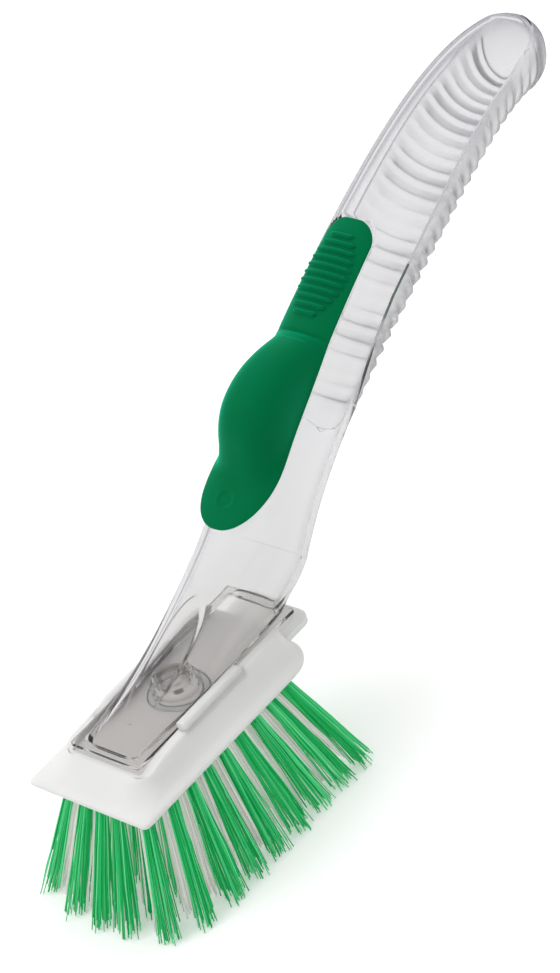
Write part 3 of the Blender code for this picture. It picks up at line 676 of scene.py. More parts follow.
def makeFrontShell():
    turns = np.linspace(-1, 1, handle["columns"] + 1)
    outer, inner, edges = [], [], []
    for share in np.linspace(neck["start"], 1, neck["stations"])[:-1]:
        station, hollow = neckStation(share), neckStation(share, handle["wall"])
        row = []
        for turn in turns:
            point = skinPoint(station, pi * turn)
            lift = panelLift(share, point.y) if abs(turn) < 0.5 else 0
            row.append(skinPoint(station, pi * turn, lift))
        outer.append(row)
        inner.append([skinPoint(hollow, pi * turn) for turn in turns])
        edges.append(pi)
    places = [(place, place) for place in np.linspace(0, handle["length"], handle["stations"])]
    lastAngle = np.degrees(np.arcsin(handle["frontEnd"] / handle["tip"]))
    for place, innerPlace in places + tipPlaces(lastAngle, handle["tipStations"]):
        edge = seamAngle(place)
        station, hollow = handleStation(place), handleStation(innerPlace, handle["wall"])
        row = []
        for turn in turns:
            angle = edge * turn
            lift = seamLip(place, abs(angle), edge) + rubberBed(place, angle * station[2])
            row.append(skinPoint(station, angle, lift))
        outer.append(row)
        inner.append([skinPoint(hollow, edge * turn) for turn in turns])
        edges.append(edge)
    bm, skin, hollow = shellBetween(outer, inner, [min(pair) < pi for pair in zip(edges, edges[1:])])
    bridge(bm, skin[-1], hollow[-1])
    shell = makePiece("clearHandle", bm, clearPlastic, 50)
    hole = addPeg("hole", thumbFrame(bulb["place"]), handle["fillingHole"], 20 * mm, 64, clearPlastic)
    boolean(shell, hole, "DIFFERENCE")
    return shell


footFlange = {
    "low": 1.9 * mm,
    "high": 3.4 * mm,
    "half": 13.5 * mm,
    "bevel": 0.15 * mm,
    "corner": 0.7 * mm,
    "frontMargin": 2.4 * mm,
    "rearMargin": 2.2 * mm,
    "innerCorner": 1.5 * mm,
}


def makeFootFlange():
    # the flat clear rim that the head grips, open in the middle
    low, high, bevel, corner = (footFlange[key] for key in ("low", "high", "bevel", "corner"))
    innerCorner, end = footFlange["innerCorner"], neck["length"]
    rings = []
    for grow, z in ((-bevel, low), (0, low + bevel), (0, high - bevel), (-bevel, high)):
        rings.append(roundedPlan(-grow, end + grow, footFlange["half"] + grow, corner, corner, z))
    for z in (high, low):
        rings.append(roundedPlan(footFlange["frontMargin"], end - footFlange["rearMargin"],
                                 neck["width"] / 2 - handle["wall"], innerCorner, innerCorner, z))
    bm = bmesh.new()
    grid = addGrid(bm, rings, True)
    bridge(bm, grid[-1] + grid[-1][:1], grid[0] + grid[0][:1])
    return makePiece("footRim", bm, footPlastic)


def makeBackShell():
    turns = np.linspace(-1, 1, ribs["columns"] + 1)
    pitch = (ribs["last"] - ribs["first"]) / ribs["count"]
    places = list(np.linspace(ribs["shellStart"], ribs["first"], 6)[:-1])
    for rib in range(ribs["count"]):
        places += [ribs["first"] + pitch * (rib + share) for share in ribs["stations"]]
    length, wall = handle["length"], handle["wall"]
    pairs = []
    for place in places:
        beyond = max(place - length, 0) * (1 - wall / handle["tip"])
        pairs.append((place, min(place, length) + beyond))
    pairs += [pair for pair in tipPlaces() if pair[0] > ribs["last"] - 0.1 * mm]
    outer, inner, edges = [], [], []
    for place, innerPlace in pairs:
        station, hollow = handleStation(place), handleStation(innerPlace, wall)
        edge = seamAngle(place)
        if 0 < edge < pi:
            edge = min(edge + seam["gap"] / station[2], pi)
        angles = [pi + (pi - edge) * turn for turn in turns]
        fades = [smoothStep((seamHeight(place) - cos(angle)) / ribs["fade"]) for angle in angles]
        height = ribHeight(place)
        outer.append([skinPoint(station, angle, height * float(fade)) for angle, fade in zip(angles, fades)])
        inner.append([skinPoint(hollow, angle) for angle in angles])
        edges.append(edge)
    bm, skin, hollow = shellBetween(outer, inner, [max(pair) > 0 for pair in zip(edges, edges[1:])])
    bm.faces.new(skin[-1][:-1])
    bm.faces.new(hollow[-1][:-1])
    return makePiece("ribbedBack", bm, ribbedPlastic, 60)


# Rubber

def edgeDrop(half, across, drop):
    # rounds the rim of a rubber sheet
    return drop * roundOff(half - abs(across), rubber["edgeRound"])


def sideShares(half, columns=40):
    # positions across a sheet, closer together at its rims
    middle = half - 1.5 * rubber["edgeRound"]
    inner = [middle * share for share in np.linspace(-1, 1, columns)]
    rim = [half - rubber["edgeRound"] * share for share in (0, 0.04, 0.15, 0.35, 0.65, 1)]
    return [-y for y in rim] + inner + rim[::-1]


def makeStrap():
    # the strap, with the crease where it meets the flap
    end, corner = rubber["strapEnd"], rubber["strapCorner"]
    places = list(np.linspace(rubber["parting"], end - corner, 90))
    places += [end - corner + corner * sin(radians(a)) for a in np.linspace(0, 90, 16)[1:]]
    top, bottom = [], []
    for place in places:
        half = flapHalf(place) if place < rubber["crease"] else strapHalf(place)
        ys = sideShares(half)
        fold = rubber["foldDepth"] * np.exp(-((place - rubber["crease"]) / rubber["foldWidth"]) ** 2)
        endDrop = rubber["strapDrop"] * roundOff(end - place, rubber["edgeRound"])
        row = []
        for y in ys:
            drop = max(edgeDrop(half, y, rubber["strapDrop"]), endDrop)
            row.append(onThumb(place, y, rubber["top"] - drop - fold + bulbRise(place, y)))
        top.append(row)
        bottom.append([onThumb(place, y, rubber["under"]) for y in ys])
    return makePiece("gripStrap", slabBetween(top, bottom), greenRubber, 50)


def bulbDome(place, across, share=1.0):
    # steep at the crease, with a soft hollow skirt at the sides and toward the tab
    above = place > bulb["place"]
    length = rubber["crease"] - bulb["place"] if above else bulb["place"] - bulb["start"]
    along = min(((place - bulb["place"]) / (length * share)) ** 2, 1)
    side = min(abs(across / (max(flapHalf(place), 0.1 * mm) * share)) ** bulb["squareness"], 1)
    return (1 - along) ** (bulb["edge"] if above else bulb["tabEdge"]) * (1 - side) ** bulb["skirt"]


def bulbRise(place, across):
    return bulb["height"] * bulbDome(place, across)


def tabDimple(place, across):
    # the round thumb mark on the tab
    distance = sqrt((place - thumbMark["place"]) ** 2 + (across - thumbMark["across"]) ** 2)
    ring = thumbMark["ringHeight"] * np.exp(-((distance - thumbMark["ring"]) / thumbMark["ringWidth"]) ** 2)
    sunk = float(smoothStep((thumbMark["radius"] - distance) / thumbMark["soft"]))
    return ring - thumbMark["depth"] * sunk


def tabFlattening(place, across):
    # the tab is flatter than the handle under it, so its edges stand off
    radius = handleStation(place)[2]
    ease = float(smoothStep((rubber["flatEnd"] - place) / rubber["flatFade"]))
    return rubber["flatness"] * ease * radius * (1 - cos(across / radius))


crossShares = [-cos(radians(a)) for a in np.linspace(0, 180, 61)]


def makeFlap():
    # tab, rim and bulb in one skin
    tabTip, tabLength = rubber["tabTip"], rubber["tabLength"]
    places = [tabTip + tabLength - tabLength * cos(radians(a)) for a in np.linspace(4, 90, 60)]
    places += list(np.linspace(tabTip + tabLength, rubber["parting"], 90)[1:])
    hollowHeight = rubber["top"] + bulb["height"] - bulb["wall"] - rubber["under"]
    top, bottom = [], []
    for place in places:
        taper = tabTaper(place)
        half = flapHalf(place)
        lift = rubber["tabLift"] * taper ** rubber["tabCurl"]
        thicker = (rubber["tabThickness"] + rubber["under"] - rubber["top"]) * taper
        ys = [half * share for share in crossShares]
        row, under = [], []
        for y in ys:
            flat = tabFlattening(place, y)
            height = rubber["top"] + lift + flat + thicker - edgeDrop(half, y, rubber["flapDrop"])
            row.append(onThumb(place, y, height + bulbRise(place, y) + tabDimple(place, y)))
            hollow = hollowHeight * bulbDome(place, y, bulb["hollowShare"])
            under.append(onThumb(place, y, rubber["under"] + lift + flat + hollow))
        top.append(row)
        bottom.append(under)
    return makePiece("squeezeFlap", slabBetween(top, bottom), greenRubber, 55)


strapRibs = {
    "count": 11,
    "first": 66 * mm,
    "last": 91 * mm,
    "height": 0.95 * mm,
    "width": 0.7 * mm,
    "reach": 8.4 * mm,
    "shortening": 0.75,  # of the outer bars
    "shift": 0.8 * mm,
    "endSquareness": 10.0,
    "points": 25,
}


def makeStrapRibs():
    # rounded bars laid across the strap, the middle ones longest
    tree, source, result = nodeTree("strap ribs", (
        ("Width", "NodeSocketFloat", 0.6 * mm),
        ("Material", "NodeSocketMaterial", None),
    ))
    given = source.outputs
    share = addNode(tree, "GeometryNodeSplineParameter").outputs["Factor"]
    centred = addMath(tree, "SUBTRACT", addMath(tree, "MULTIPLY", share, 2.0), 1.0)
    off = addMath(tree, "POWER", addMath(tree, "ABSOLUTE", centred), strapRibs["endSquareness"])
    rounded = addMath(tree, "SQRT", addMath(tree, "SUBTRACT", 1.001, off))
    profile = addNode(tree, "GeometryNodeCurvePrimitiveCircle", {"Resolution": 12, "Radius": given["Width"]},
                      mode="RADIUS")
    split = addStage(tree, "MeshToCurve", given["Geometry"])
    sized = addStage(tree, "SetCurveRadius", split, {"Radius": rounded})
    body = addNode(tree, "GeometryNodeCurveToMesh", {
        "Fill Caps": True, "Curve": sized, "Profile Curve": profile.outputs["Curve"]})
    if "Scale" in body.inputs:
        setInputs(body, {"Scale": rounded})
    real = addStage(tree, "RealizeInstances", body.outputs["Mesh"])
    setInputs(result, {"Geometry": addStage(tree, "SetMaterial", real, {"Material": given["Material"]})})

    points, edges = [], []
    middle = (strapRibs["count"] - 1) / 2
    height = rubber["top"] + strapRibs["height"] - strapRibs["width"]
    for rib, place in enumerate(np.linspace(strapRibs["first"], strapRibs["last"], strapRibs["count"])):
        reach = strapRibs["reach"] * sqrt(1 - strapRibs["shortening"] * ((rib - middle) / middle) ** 2)
        for step, y in enumerate(np.linspace(-reach, reach, strapRibs["points"])):
            if step:
                edges.append((len(points) - 1, len(points)))
            points.append(onThumb(place, y + strapRibs["shift"], height))
    mesh = bpy.data.meshes.new("strapRibs")
    mesh.from_pydata(points, edges, [])
    return growNodes("strapRibs", mesh, tree, {"Width": strapRibs["width"]}, greenRubber)


# Node trees

def nodeTree(name, inputs):
    # inputs are (label, socket type, value), and every tree starts from a mesh
    tree = bpy.data.node_groups.new(name, "GeometryNodeTree")
    tree.interface.new_socket("Geometry", in_out="INPUT", socket_type="NodeSocketGeometry")
    for label, kind, value in inputs:
        socket = tree.interface.new_socket(label, in_out="INPUT", socket_type=kind)
        if value is not None:
            socket.default_value = value
    tree.interface.new_socket("Geometry", in_out="OUTPUT", socket_type="NodeSocketGeometry")
    return tree, tree.nodes.new("NodeGroupInput"), tree.nodes.new("NodeGroupOutput")


def growNodes(name, mesh, tree, values, material):
    # runs a tree on a mesh and keeps the result as a plain mesh
    seed = bpy.data.objects.new(name, mesh)
    bpy.context.scene.collection.objects.link(seed)
    step = seed.modifiers.new("grow", "NODES")
    step.node_group = tree
    values["Material"] = material
    for item in tree.interface.items_tree:
        if item.item_type == "SOCKET" and item.in_out == "INPUT" and item.name in values:
            step[item.identifier] = values[item.name]
    applyModifiers(seed)
    seed.data.materials.clear()
    seed.data.materials.append(material)
    seed.data.shade_smooth()
    return seed


# Bristles

tufts = {
    "length": 36 * mm,
    "pitch": 7 * mm,
    "rowPitch": 4.6 * mm,
    "rows": 9,
    "first": -6 * mm,
    "last": 54.5 * mm,
    "noseRounding": 3 * mm,
    "noseStart": 8 * mm,
    "noseNarrowing": 0.45,
    "overhang": 3.2 * mm,
    "fanCentre": 33 * mm,
    "fanLength": 0.43,
    "fanWidth": 0.72,
    "rootLevel": -8 * mm,
    "strands": 56,
    "rootRadius": 1.6 * mm,
    "spread": 1.25,
    "ragged": 0.1,
    "thickness": 0.21 * mm,
    "taper": 0.8,
    "wander": 1.1 * mm,
    "bendWaves": 260.0,
    "bend": 1.6 * mm,
    "valveRoom": 3.6 * mm,
    "sunk": 0.2 * mm,
    "seeds": (3, 23),  # green and pale
}
valvePlace = 32.5 * mm


def makeBristleTree():
    tree, source, result = nodeTree("bristle tufts", (
        ("Strands", "NodeSocketInt", 30),
        ("Root Radius", "NodeSocketFloat", 1.5 * mm),
        ("Spread", "NodeSocketFloat", 1.0),
        ("Ragged", "NodeSocketFloat", 0.1),
        ("Thickness", "NodeSocketFloat", 0.2 * mm),
        ("Seed", "NodeSocketInt", 3),
        ("Material", "NodeSocketMaterial", None),
    ))
    given = source.outputs
    points = addStage(tree, "MeshToPoints", given["Geometry"])
    copies = addStage(tree, "DuplicateElements", points, {"Amount": given["Strands"]}, domain="POINT")
    index = addNode(tree, "GeometryNodeInputIndex").outputs["Index"]

    def draw(low, high, shift, kind="FLOAT"):
        first = 0 if kind == "FLOAT_VECTOR" else 2  # where this kind's sockets begin
        seed = addMath(tree, "ADD", given["Seed"], shift)
        inputs = {first: low, first + 1: high, "ID": index, "Seed": seed}
        return addNode(tree, "FunctionNodeRandomValue", inputs, data_type=kind).outputs[first // 2]

    def scaled(vector, factor):
        return addNode(tree, "ShaderNodeVectorMath", {"Vector": vector, "Scale": factor},
                       operation="SCALE").outputs[0]

    def multiply(first, second):
        return addMath(tree, "MULTIPLY", first, second)

    turn = draw(0, 2 * pi, 1)
    reach = multiply(addMath(tree, "SQRT", draw(0.0, 1.0, 2)), given["Root Radius"])
    offset = addNode(tree, "ShaderNodeCombineXYZ", {
        "X": multiply(addMath(tree, "COSINE", turn), reach),
        "Y": multiply(addMath(tree, "SINE", turn), reach)}).outputs[0]
    lean = addNode(tree, "GeometryNodeInputNamedAttribute", {"Name": "lean"}, data_type="FLOAT_VECTOR")
    astray = tufts["wander"]
    wander = draw((-astray, -astray, 0), (astray, astray, 0), 5, "FLOAT_VECTOR")
    fanned = addVectorMath(tree, "ADD", lean.outputs["Attribute"], scaled(offset, given["Spread"]))
    aim = addVectorMath(tree, "ADD", fanned, wander)
    shortening = multiply(addMath(tree, "POWER", draw(0.0, 1.0, 3), 2.0), given["Ragged"])
    length = multiply(addVectorMath(tree, "LENGTH", aim), addMath(tree, "SUBTRACT", 1.0, shortening))
    strand = addNode(tree, "GeometryNodeMeshCone", {
        "Vertices": 5, "Side Segments": 5, "Fill Segments": 1, "Depth": 1.0,
        "Radius Top": multiply(given["Thickness"], tufts["taper"]), "Radius Bottom": given["Thickness"],
    }, fill_type="TRIANGLE_FAN")
    placed = addStage(tree, "SetPosition", copies, {"Offset": offset})
    planted = addStage(tree, "InstanceOnPoints", placed, {
        "Instance": strand.outputs["Mesh"],
        "Rotation": addNode(tree, "FunctionNodeAlignRotationToVector", {"Vector": aim}, axis="Z").outputs[0],
        "Scale": addNode(tree, "ShaderNodeCombineXYZ", {"X": 1.0, "Y": 1.0, "Z": length}).outputs[0],
    })
    shaded = addStage(tree, "StoreNamedAttribute", planted, {"Name": "strandShade", "Value": draw(0.0, 1.0, 4)},
                      data_type="FLOAT", domain="INSTANCE")
    real = addStage(tree, "RealizeInstances", shaded)
    # a slow wave bends the strands a little toward their tips
    position = addNode(tree, "GeometryNodeInputPosition").outputs["Position"]
    noise = addNode(tree, "ShaderNodeTexNoise", {
        "Scale": tufts["bendWaves"], "Detail": 1.0, "Vector": position}, noise_dimensions="3D")
    swing = addVectorMath(tree, "SUBTRACT", noise.outputs["Color"], (0.5, 0.5, 0.5))
    height = addNode(tree, "ShaderNodeSeparateXYZ", {"Vector": position}).outputs["Z"]
    below = addMath(tree, "SUBTRACT", footOrigin.z + tufts["rootLevel"], height)
    hang = addMath(tree, "MAXIMUM", addMath(tree, "DIVIDE", below, tufts["length"]), 0.0)
    flat = addVectorMath(tree, "MULTIPLY", scaled(swing, multiply(hang, tufts["bend"])), (1.0, 1.0, 0.0))
    bent = addStage(tree, "SetPosition", real, {"Offset": flat})
    setInputs(result, {"Geometry": addStage(tree, "SetMaterial", bent, {"Material": given["Material"]})})
    return tree


def tuftRoots(odd):
    # root points and the way that each tuft leans
    roots, leans = [], []
    nose = tufts["noseStart"] - (tufts["first"] - tufts["overhang"])
    for row in range(tufts["rows"]):
        if row % 2 != odd:
            continue
        shift = tufts["pitch"] / 2 if odd else 0
        offset = row / (tufts["rows"] - 1) * 2 - 1
        middle = tufts["rowPitch"] * (row - (tufts["rows"] - 1) / 2)
        start = tufts["first"] + tufts["noseRounding"] * offset ** 4 + shift
        end = tufts["last"] - shift
        for x in np.linspace(start, end, round((end - start) / tufts["pitch"]) + 1):
            if middle == 0 and abs(x - valvePlace) < tufts["valveRoom"]:
                continue
            y = middle * (1 - tufts["noseNarrowing"] * (max(tufts["noseStart"] - x, 0) / nose) ** 1.5)
            roots.append(footOrigin + Vector((x, y, tufts["rootLevel"] + tufts["sunk"])))
            sideways = tufts["fanLength"] * (x - tufts["fanCentre"]), tufts["fanWidth"] * y
            leans.append((*sideways, -tufts["length"]))
    return roots, leans


def makeBristles(name, odd, material, tree):
    roots, leans = tuftRoots(odd)
    mesh = bpy.data.meshes.new(name)
    mesh.from_pydata(roots, [], [])
    lean = mesh.attributes.new("lean", "FLOAT_VECTOR", "POINT")
    lean.data.foreach_set("vector", np.array(leans, np.float32).ravel())
    values = {"Strands": tufts["strands"], "Root Radius": tufts["rootRadius"], "Spread": tufts["spread"],
              "Ragged": tufts["ragged"], "Thickness": tufts["thickness"], "Seed": tufts["seeds"][odd]}
    piece = growNodes(name, mesh, tree, values, material)
    for vertex in piece.data.vertices:
        vertex.co.z = max(vertex.co.z, 0.0)
    return piece


# Head

head = {
    "thickness": 8 * mm,
    "rim": 3.6 * mm,
    "rimInner": 13.8 * mm,
    "rimOuter": 15.4 * mm,
    "flare": 8.1 * mm,
    "reach": 10.4 * mm,
    "stop": 1.6 * mm,
    "rear": 64 * mm,
    "tail": 3 * mm,
    "frontCorner": 9 * mm,
    "rearCorner": 6 * mm,
    "cornerGrowth": 0.5,
    "shoulder": 1.1 * mm,
    "bevel": 0.25 * mm,
    "rings": 60,
    "levels": (  # height share, side flare, front reach and front corner
        (0, 0.85, 0.9, 0.33), (0.147, 1, 1, 0.17), (0.224, 0.98, 1, 0.22), (0.328, 0.68, 0.79, 0.78),
        (0.474, 0.47, 0.52, 1), (0.621, 0.35, 0.24, 0.89), (0.767, 0.26, 0.03, 0.67),
        (0.897, 0.17, 0, 0.56), (0.974, 0.09, 0, 0.44), (1, 0.03, 0, 0.44), (1.12, 0, 0, 0.44)),
    "ridge": ((-20, 0.6), (0, 0.6), (4, 1.7), (11, 2.5), (18, 2.8), (47, 3.65), (90, 3.65)),  # in mm
    "seatFront": -0.3 * mm,
    "seatRear": 138 * mm,
    "seatFloor": -0.3 * mm,
    "seatCorner": 0.5 * mm,
    "seatRoom": 12 * mm,
    "sealInner": 6.7 * mm,
    "sealOuter": 9.3 * mm,
    "sealLow": -2.2 * mm,
    "outlet": 1.75 * mm,
}
beads = {
    "nearPlaces": (17.6, 18.4, 44.4, 46),  # in mm, the outer two are the low ends
    "farPlaces": (12, 19, 44.4, 46),
    "full": ((14.1, 1.5), (17, 1.5), (16.4, 3.2), (15.7, 4.3), (15.2, 4.6), (13.3, 4.6), (12.8, 4.2),
             (12.8, 3.75), (14.1, 3.75)),
    "low": ((14.1, 1.2), (16, 1.2), (16, 1.8), (15.7, 2.4), (15.2, 2.6), (14.7, 2.6), (14.1, 2.4), (14.1, 2),
            (14.1, 1.6)),
}


tongue = {
    "start": 58 * mm,
    "end": 78 * mm,
    "half": 13 * mm,
    "top": -3.8 * mm,
    "thickness": 2 * mm,
    "innerCorner": 2 * mm,
    "outerCorner": 4 * mm,
}


def softCurve(places, values, where):
    # a smooth curve through the points, without overshoot
    places, values = np.array(places, float), np.array(values, float)
    steps = np.diff(values) / np.diff(places)
    slopes = np.append(np.append(steps[0], (steps[:-1] + steps[1:]) / 2), steps[-1])
    slopes[1:-1][steps[:-1] * steps[1:] <= 0] = 0
    i = int(np.clip(np.searchsorted(places, where) - 1, 0, len(steps) - 1))
    span = places[i + 1] - places[i]
    t = (where - places[i]) / span
    level = (1 + 2 * t) * (1 - t) ** 2 * values[i] + t * t * (3 - 2 * t) * values[i + 1]
    return level + span * (t * (1 - t) ** 2 * slopes[i] + t * t * (t - 1) * slopes[i + 1])


def softMinimum(first, second, width):
    # the lower of two levels, rounded where they meet
    near = max(width - abs(first - second), 0) / width
    return min(first, second) - near * near * width / 4


def withSidePoints(points, count=36):
    # adds points along the two long sides of a rounded plan
    size = len(points) // 4
    result = []
    for corner in range(4):
        result += points[corner * size:(corner + 1) * size]
        if corner in (0, 2):
            start, end = result[-1], points[(corner + 1) * size]
            result += [start.lerp(end, step / count) for step in range(1, count)]
    return result


def ringSolid(name, rings, material):
    # a solid over closed rings, each mirrored about the middle, with strips of quads over its ends
    bm = bmesh.new()
    grid = addGrid(bm, rings, True)
    for ring in (grid[0], grid[-1]):
        for i in range(len(ring) // 2 - 1):
            bm.faces.new((ring[i], ring[i + 1], ring[-2 - i], ring[-1 - i]))
    return makePiece(name, bm, material)


def makeBead(side):
    sections = (beads["low"], beads["full"], beads["full"], beads["low"])
    places = beads["nearPlaces"] if side < 0 else beads["farPlaces"]
    rings = []
    for x, section in zip(places, sections):
        rings.append([footOrigin + Vector((x * mm, side * y * mm, z * mm)) for y, z in section])
    bm = bmesh.new()
    grid = addGrid(bm, rings, True)
    bm.faces.new(grid[0])
    bm.faces.new(grid[-1])
    return makePiece("bead", bm, headPlastic)


def sealGroove():
    # the ring-shaped groove in the seat, round the soap outlet
    steps = 64
    centre = footOrigin + Vector((valvePlace, 0, 0))
    section = ((head["sealInner"], head["sealLow"]), (head["sealOuter"], head["sealLow"]),
               (head["sealOuter"], mm), (head["sealInner"], mm))
    rows = []
    for step in range(steps + 1):
        angle = 2 * pi * step / steps
        rows.append([centre + Vector((reach * cos(angle), reach * sin(angle), z)) for reach, z in section])
    bm = bmesh.new()
    addGrid(bm, rows, True)
    return makePiece("groove", bm, headPlastic)


def soapOutlet():
    place = Matrix.Translation(footOrigin + Vector((valvePlace, 0, 0)))
    return addPeg("outlet", place, head["outlet"], 30 * mm, 32, headPlastic)


def makeHead():
    heights, flares, reaches, corners = zip(*head["levels"])
    ridgePlaces, ridgeHeights = zip(*head["ridge"])
    rings = []
    for height in np.linspace(0, heights[-1], head["rings"]):
        z = height * (head["rim"] + head["thickness"]) - head["thickness"]
        flare = softCurve(heights, flares, height)
        half = head["rimOuter"] + head["flare"] * flare
        front = -head["stop"] - head["reach"] * softCurve(heights, reaches, height)
        corner = head["frontCorner"] * softCurve(heights, corners, height)
        rearCorner = head["rearCorner"] + (half - head["rimOuter"]) * head["cornerGrowth"]
        rear = head["rear"] + head["tail"] * flare
        ring = withSidePoints(roundedPlan(front, rear, half, corner, rearCorner, z, 12))
        for point in ring:
            ridge = softCurve(ridgePlaces, ridgeHeights, (point.x - footOrigin.x) / mm) * mm
            point.z = footOrigin.z + softMinimum(z, ridge, head["shoulder"])
        rings.append(ring)
    block = ringSolid("brushHead", rings, headPlastic)
    outline = roundedPlan(tongue["start"], tongue["end"], tongue["half"], tongue["innerCorner"],
                          tongue["outerCorner"], tongue["top"])
    boolean(block, makePiece("tongue", prism(outline, (0, 0, -tongue["thickness"])), headPlastic), "UNION")
    seat = roundedPlan(head["seatFront"], head["seatRear"], head["rimInner"], head["seatCorner"],
                       head["seatCorner"], head["seatFloor"], 2)
    boolean(block, makePiece("seat", prism(seat, (0, 0, head["seatRoom"])), headPlastic), "DIFFERENCE")
    for side in (1, -1):
        boolean(block, makeBead(side), "UNION")
    boolean(block, sealGroove(), "DIFFERENCE")
    boolean(block, soapOutlet(), "DIFFERENCE")
    bevel = block.modifiers.new("bevel", "BEVEL")
    bevel.width = head["bevel"]
    bevel.segments = 3
    bevel.limit_method = "ANGLE"
    bevel.angle_limit = radians(50)
    applyModifiers(block)
    block.data.shade_smooth()
    block.data.set_sharp_from_angle(angle=radians(40))
    return block


# Making the pieces

clearHandle = makeFrontShell()
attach(clearHandle, "handle")
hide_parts("front_shell")
footRim = makeFootFlange()
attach(footRim, "handle")
ribbedBack = makeBackShell()
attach(ribbedBack, "handle")
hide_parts("back_shell")
print("clear shells made")

gripStrap = makeStrap()
crease = onThumb(rubber["crease"], 0, 0)
along = onThumb(rubber["bend"][0], 0, 0) - onThumb(rubber["bend"][1], 0, 0)
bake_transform(gripStrap)
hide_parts("grip_strap")

ribBars = makeStrapRibs()
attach(ribBars, "handle")

squeezeFlap = makeFlap()
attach(squeezeFlap, "flap")
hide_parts("lift_flap", "squeeze_bulb")
bulbAxis = thumbFrame(bulb["place"]).to_3x3() @ Vector((0, 0, 1))
bulbBase = onThumb(bulb["place"], 0, 0)
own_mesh(squeezeFlap)
print("rubber made")

brushHead = makeHead()
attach(brushHead, "head")
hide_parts("brush_block")
print("head made")

bristleTree = makeBristleTree()
greenStrands = makeBristles("greenBristles", 0, greenBristle, bristleTree)
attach(greenStrands, "head")
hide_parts(*[f"green_tufts_{i}" for i in range(1, 6)])
paleStrands = makeBristles("paleBristles", 1, paleBristle, bristleTree)
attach(paleStrands, "head")
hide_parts(*[f"pale_tufts_{i}" for i in range(1, 5)])
print("bristles made:", len(greenStrands.data.polygons), len(paleStrands.data.polygons), "faces")

# the frame's nodes that stay in sight only get a material
kept = {
    "sole_plate": clearInner,
    "filler_collar": clearInner,
    "valve_housing": clearInner,
    "valve_retainer": clearInner,
    "slit_valve": clearInner,
    "inlet_seal": milkySilicone,
    "plug_core": greenRubber,
}
for node, material in kept.items():
    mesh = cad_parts[node].data
    mesh.materials.clear()
    mesh.materials.append(material)


# Studio

studio = {
    "floorSize": 8.0,
    "floorDrop": 0.05 * mm,
    "floorColour": (0.9, 0.9, 0.9),
    "floorGlow": 0.26,
    # the floor seen in reflections and through the clear plastic is painted darker outside a painted pool of
    # light
    "paintedFloorShade": (0.5, 0.49, 0.52),
    "backdrop": (0.503, 0.631, -0.591),  # toward the white side of the room
    "roomTones": ((0.0, (0.5, 0.49, 0.52)), (0.4, (0.52, 0.51, 0.55)), (0.7, (0.72, 0.71, 0.75)),
                  (0.93, (1, 1, 1))),
    "litSide": (-0.15, 0.73, 0.66),  # toward the brighter side
    "diffuseSide": 0.88,
    "diffuseFront": 0.14,
    "lightPoolCentre": (0.1, 0.11, 0),
    "lightPoolReach": 0.16,
    "lightPoolFade": 0.42,
    "lens": 130.06,
    "sensor": 36.0,
}


lamps = (  # name, watts, size, place and the height it is aimed at
    ("key", 4.5, 0.9, (-0.7, 0.75, 1.2), 0.07),
    ("side", 1.8, 0.9, (0.7, -1.1, 0.45), 0.05),
    ("back", 3.0, 0.6, (0.8, 0.3, 1.3), 0.07),
)


def makeFloor():
    half = studio["floorSize"] / 2
    bm = bmesh.new()
    corners = ((-half, -half), (half, -half), (half, half), (-half, half))
    bm.faces.new([bm.verts.new((x, y, -studio["floorDrop"])) for x, y in corners])
    material, tree, shader = newMaterial("studio floor", studio["floorColour"], 0.9)
    light = addNode(tree, "ShaderNodeLightPath")
    place = addNode(tree, "ShaderNodeTexCoord").outputs["Object"]
    # painted pool of light: in reflections and through the clear plastic the floor keeps its colour near the
    # wand and is painted darker further out; the camera sees it evenly
    gap = addVectorMath(tree, "DISTANCE", place, studio["lightPoolCentre"])
    outsidePool = addFade(tree, gap, studio["lightPoolReach"], studio["lightPoolFade"])
    far = addMath(tree, "MULTIPLY", seenThrough(tree, light), outsidePool)
    setInputs(shader, {
        "Specular IOR Level": 0,
        "Base Color": addRamp(tree, far, ((0, studio["floorColour"]), (1, studio["paintedFloorShade"]))),
        "Emission Color": (1, 1, 1, 1),
        "Emission Strength": addMath(tree, "MULTIPLY", light.outputs["Is Camera Ray"], studio["floorGlow"]),
    })
    floor = makePiece("studioFloor", bm, material)


def seenThrough(tree, light):
    # 1 for what is seen in a reflection or through clear plastic
    return addMath(tree, "MAXIMUM", light.outputs["Is Transmission Ray"], light.outputs["Is Glossy Ray"])


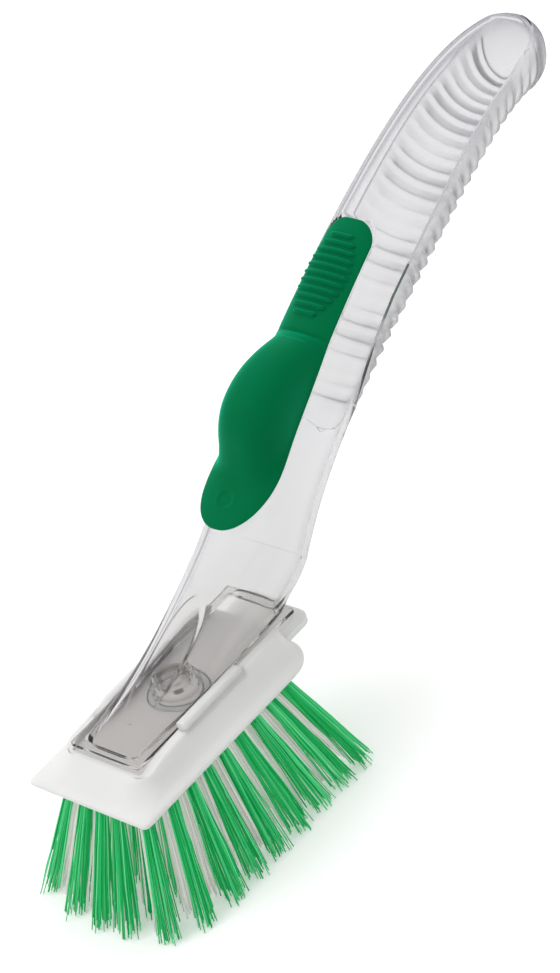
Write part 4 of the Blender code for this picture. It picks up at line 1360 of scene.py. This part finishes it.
def makeWorld():
    # a bright room that is darker on the side where the photographer stands
    world = bpy.data.worlds.new("studio")
    world.use_nodes = True
    tree = world.node_tree
    light = addNode(tree, "ShaderNodeLightPath")
    around = addNode(tree, "ShaderNodeTexCoord").outputs["Generated"]

    def shareToward(direction):
        dot = addVectorMath(tree, "DOT_PRODUCT", around, direction)
        return addMath(tree, "ADD", addMath(tree, "MULTIPLY", dot, 0.5), 0.5)

    dim, lit = (studio["diffuseFront"],) * 3, (studio["diffuseSide"],) * 3
    soft = addRamp(tree, shareToward(studio["litSide"]), ((0.1, dim), (0.75, lit), (1, lit)))
    sharp = addRamp(tree, shareToward(studio["backdrop"]), studio["roomTones"])
    room = addMix(tree, seenThrough(tree, light), soft, sharp)
    seen = addMix(tree, light.outputs["Is Camera Ray"], room, (1, 1, 1, 1))
    setInputs(tree.nodes["Background"], {"Color": seen})
    bpy.context.scene.world = world


def addLamp(name, power, size, position, aim):
    lamp = bpy.data.lights.new(name, "AREA")
    lamp.energy = power
    lamp.shape = "DISK"
    lamp.size = size
    holder = bpy.data.objects.new(name, lamp)
    holder.location = position
    holder.visible_glossy = False
    holder.visible_transmission = False
    holder.rotation_euler = (Vector((0, 0, aim)) - Vector(position)).to_track_quat("-Z", "Y").to_euler()
    bpy.context.scene.collection.objects.link(holder)


def makeCamera():
    # the photograph's own rolled view, solved from the wand's outline
    right = Vector((0.6128468, -0.7423724, -0.2707437))
    down = Vector((-0.6095592, -0.2261020, -0.7598128))
    forward = Vector((0.5028484, 0.6306831, -0.5910857))
    shift = Vector((-0.0492457, 0.0787930, 1.0))
    centre = -(right * shift.x + down * shift.y + forward * shift.z)
    lens = bpy.data.cameras.new("camera")
    lens.lens = studio["lens"]
    lens.sensor_fit = "VERTICAL"
    lens.sensor_height = studio["sensor"]
    lens.clip_start = 0.05
    camera = bpy.data.objects.new("camera", lens)
    axes = Matrix((right, -down, -forward)).transposed()
    camera.matrix_world = Matrix.Translation(footOrigin + centre) @ axes.to_4x4()
    bpy.context.scene.collection.objects.link(camera)
    bpy.context.scene.camera = camera


makeFloor()
makeWorld()
for lamp in lamps:
    addLamp(*lamp)
makeCamera()
bpy.context.scene.view_settings.view_transform = "Standard"
print("studio made")
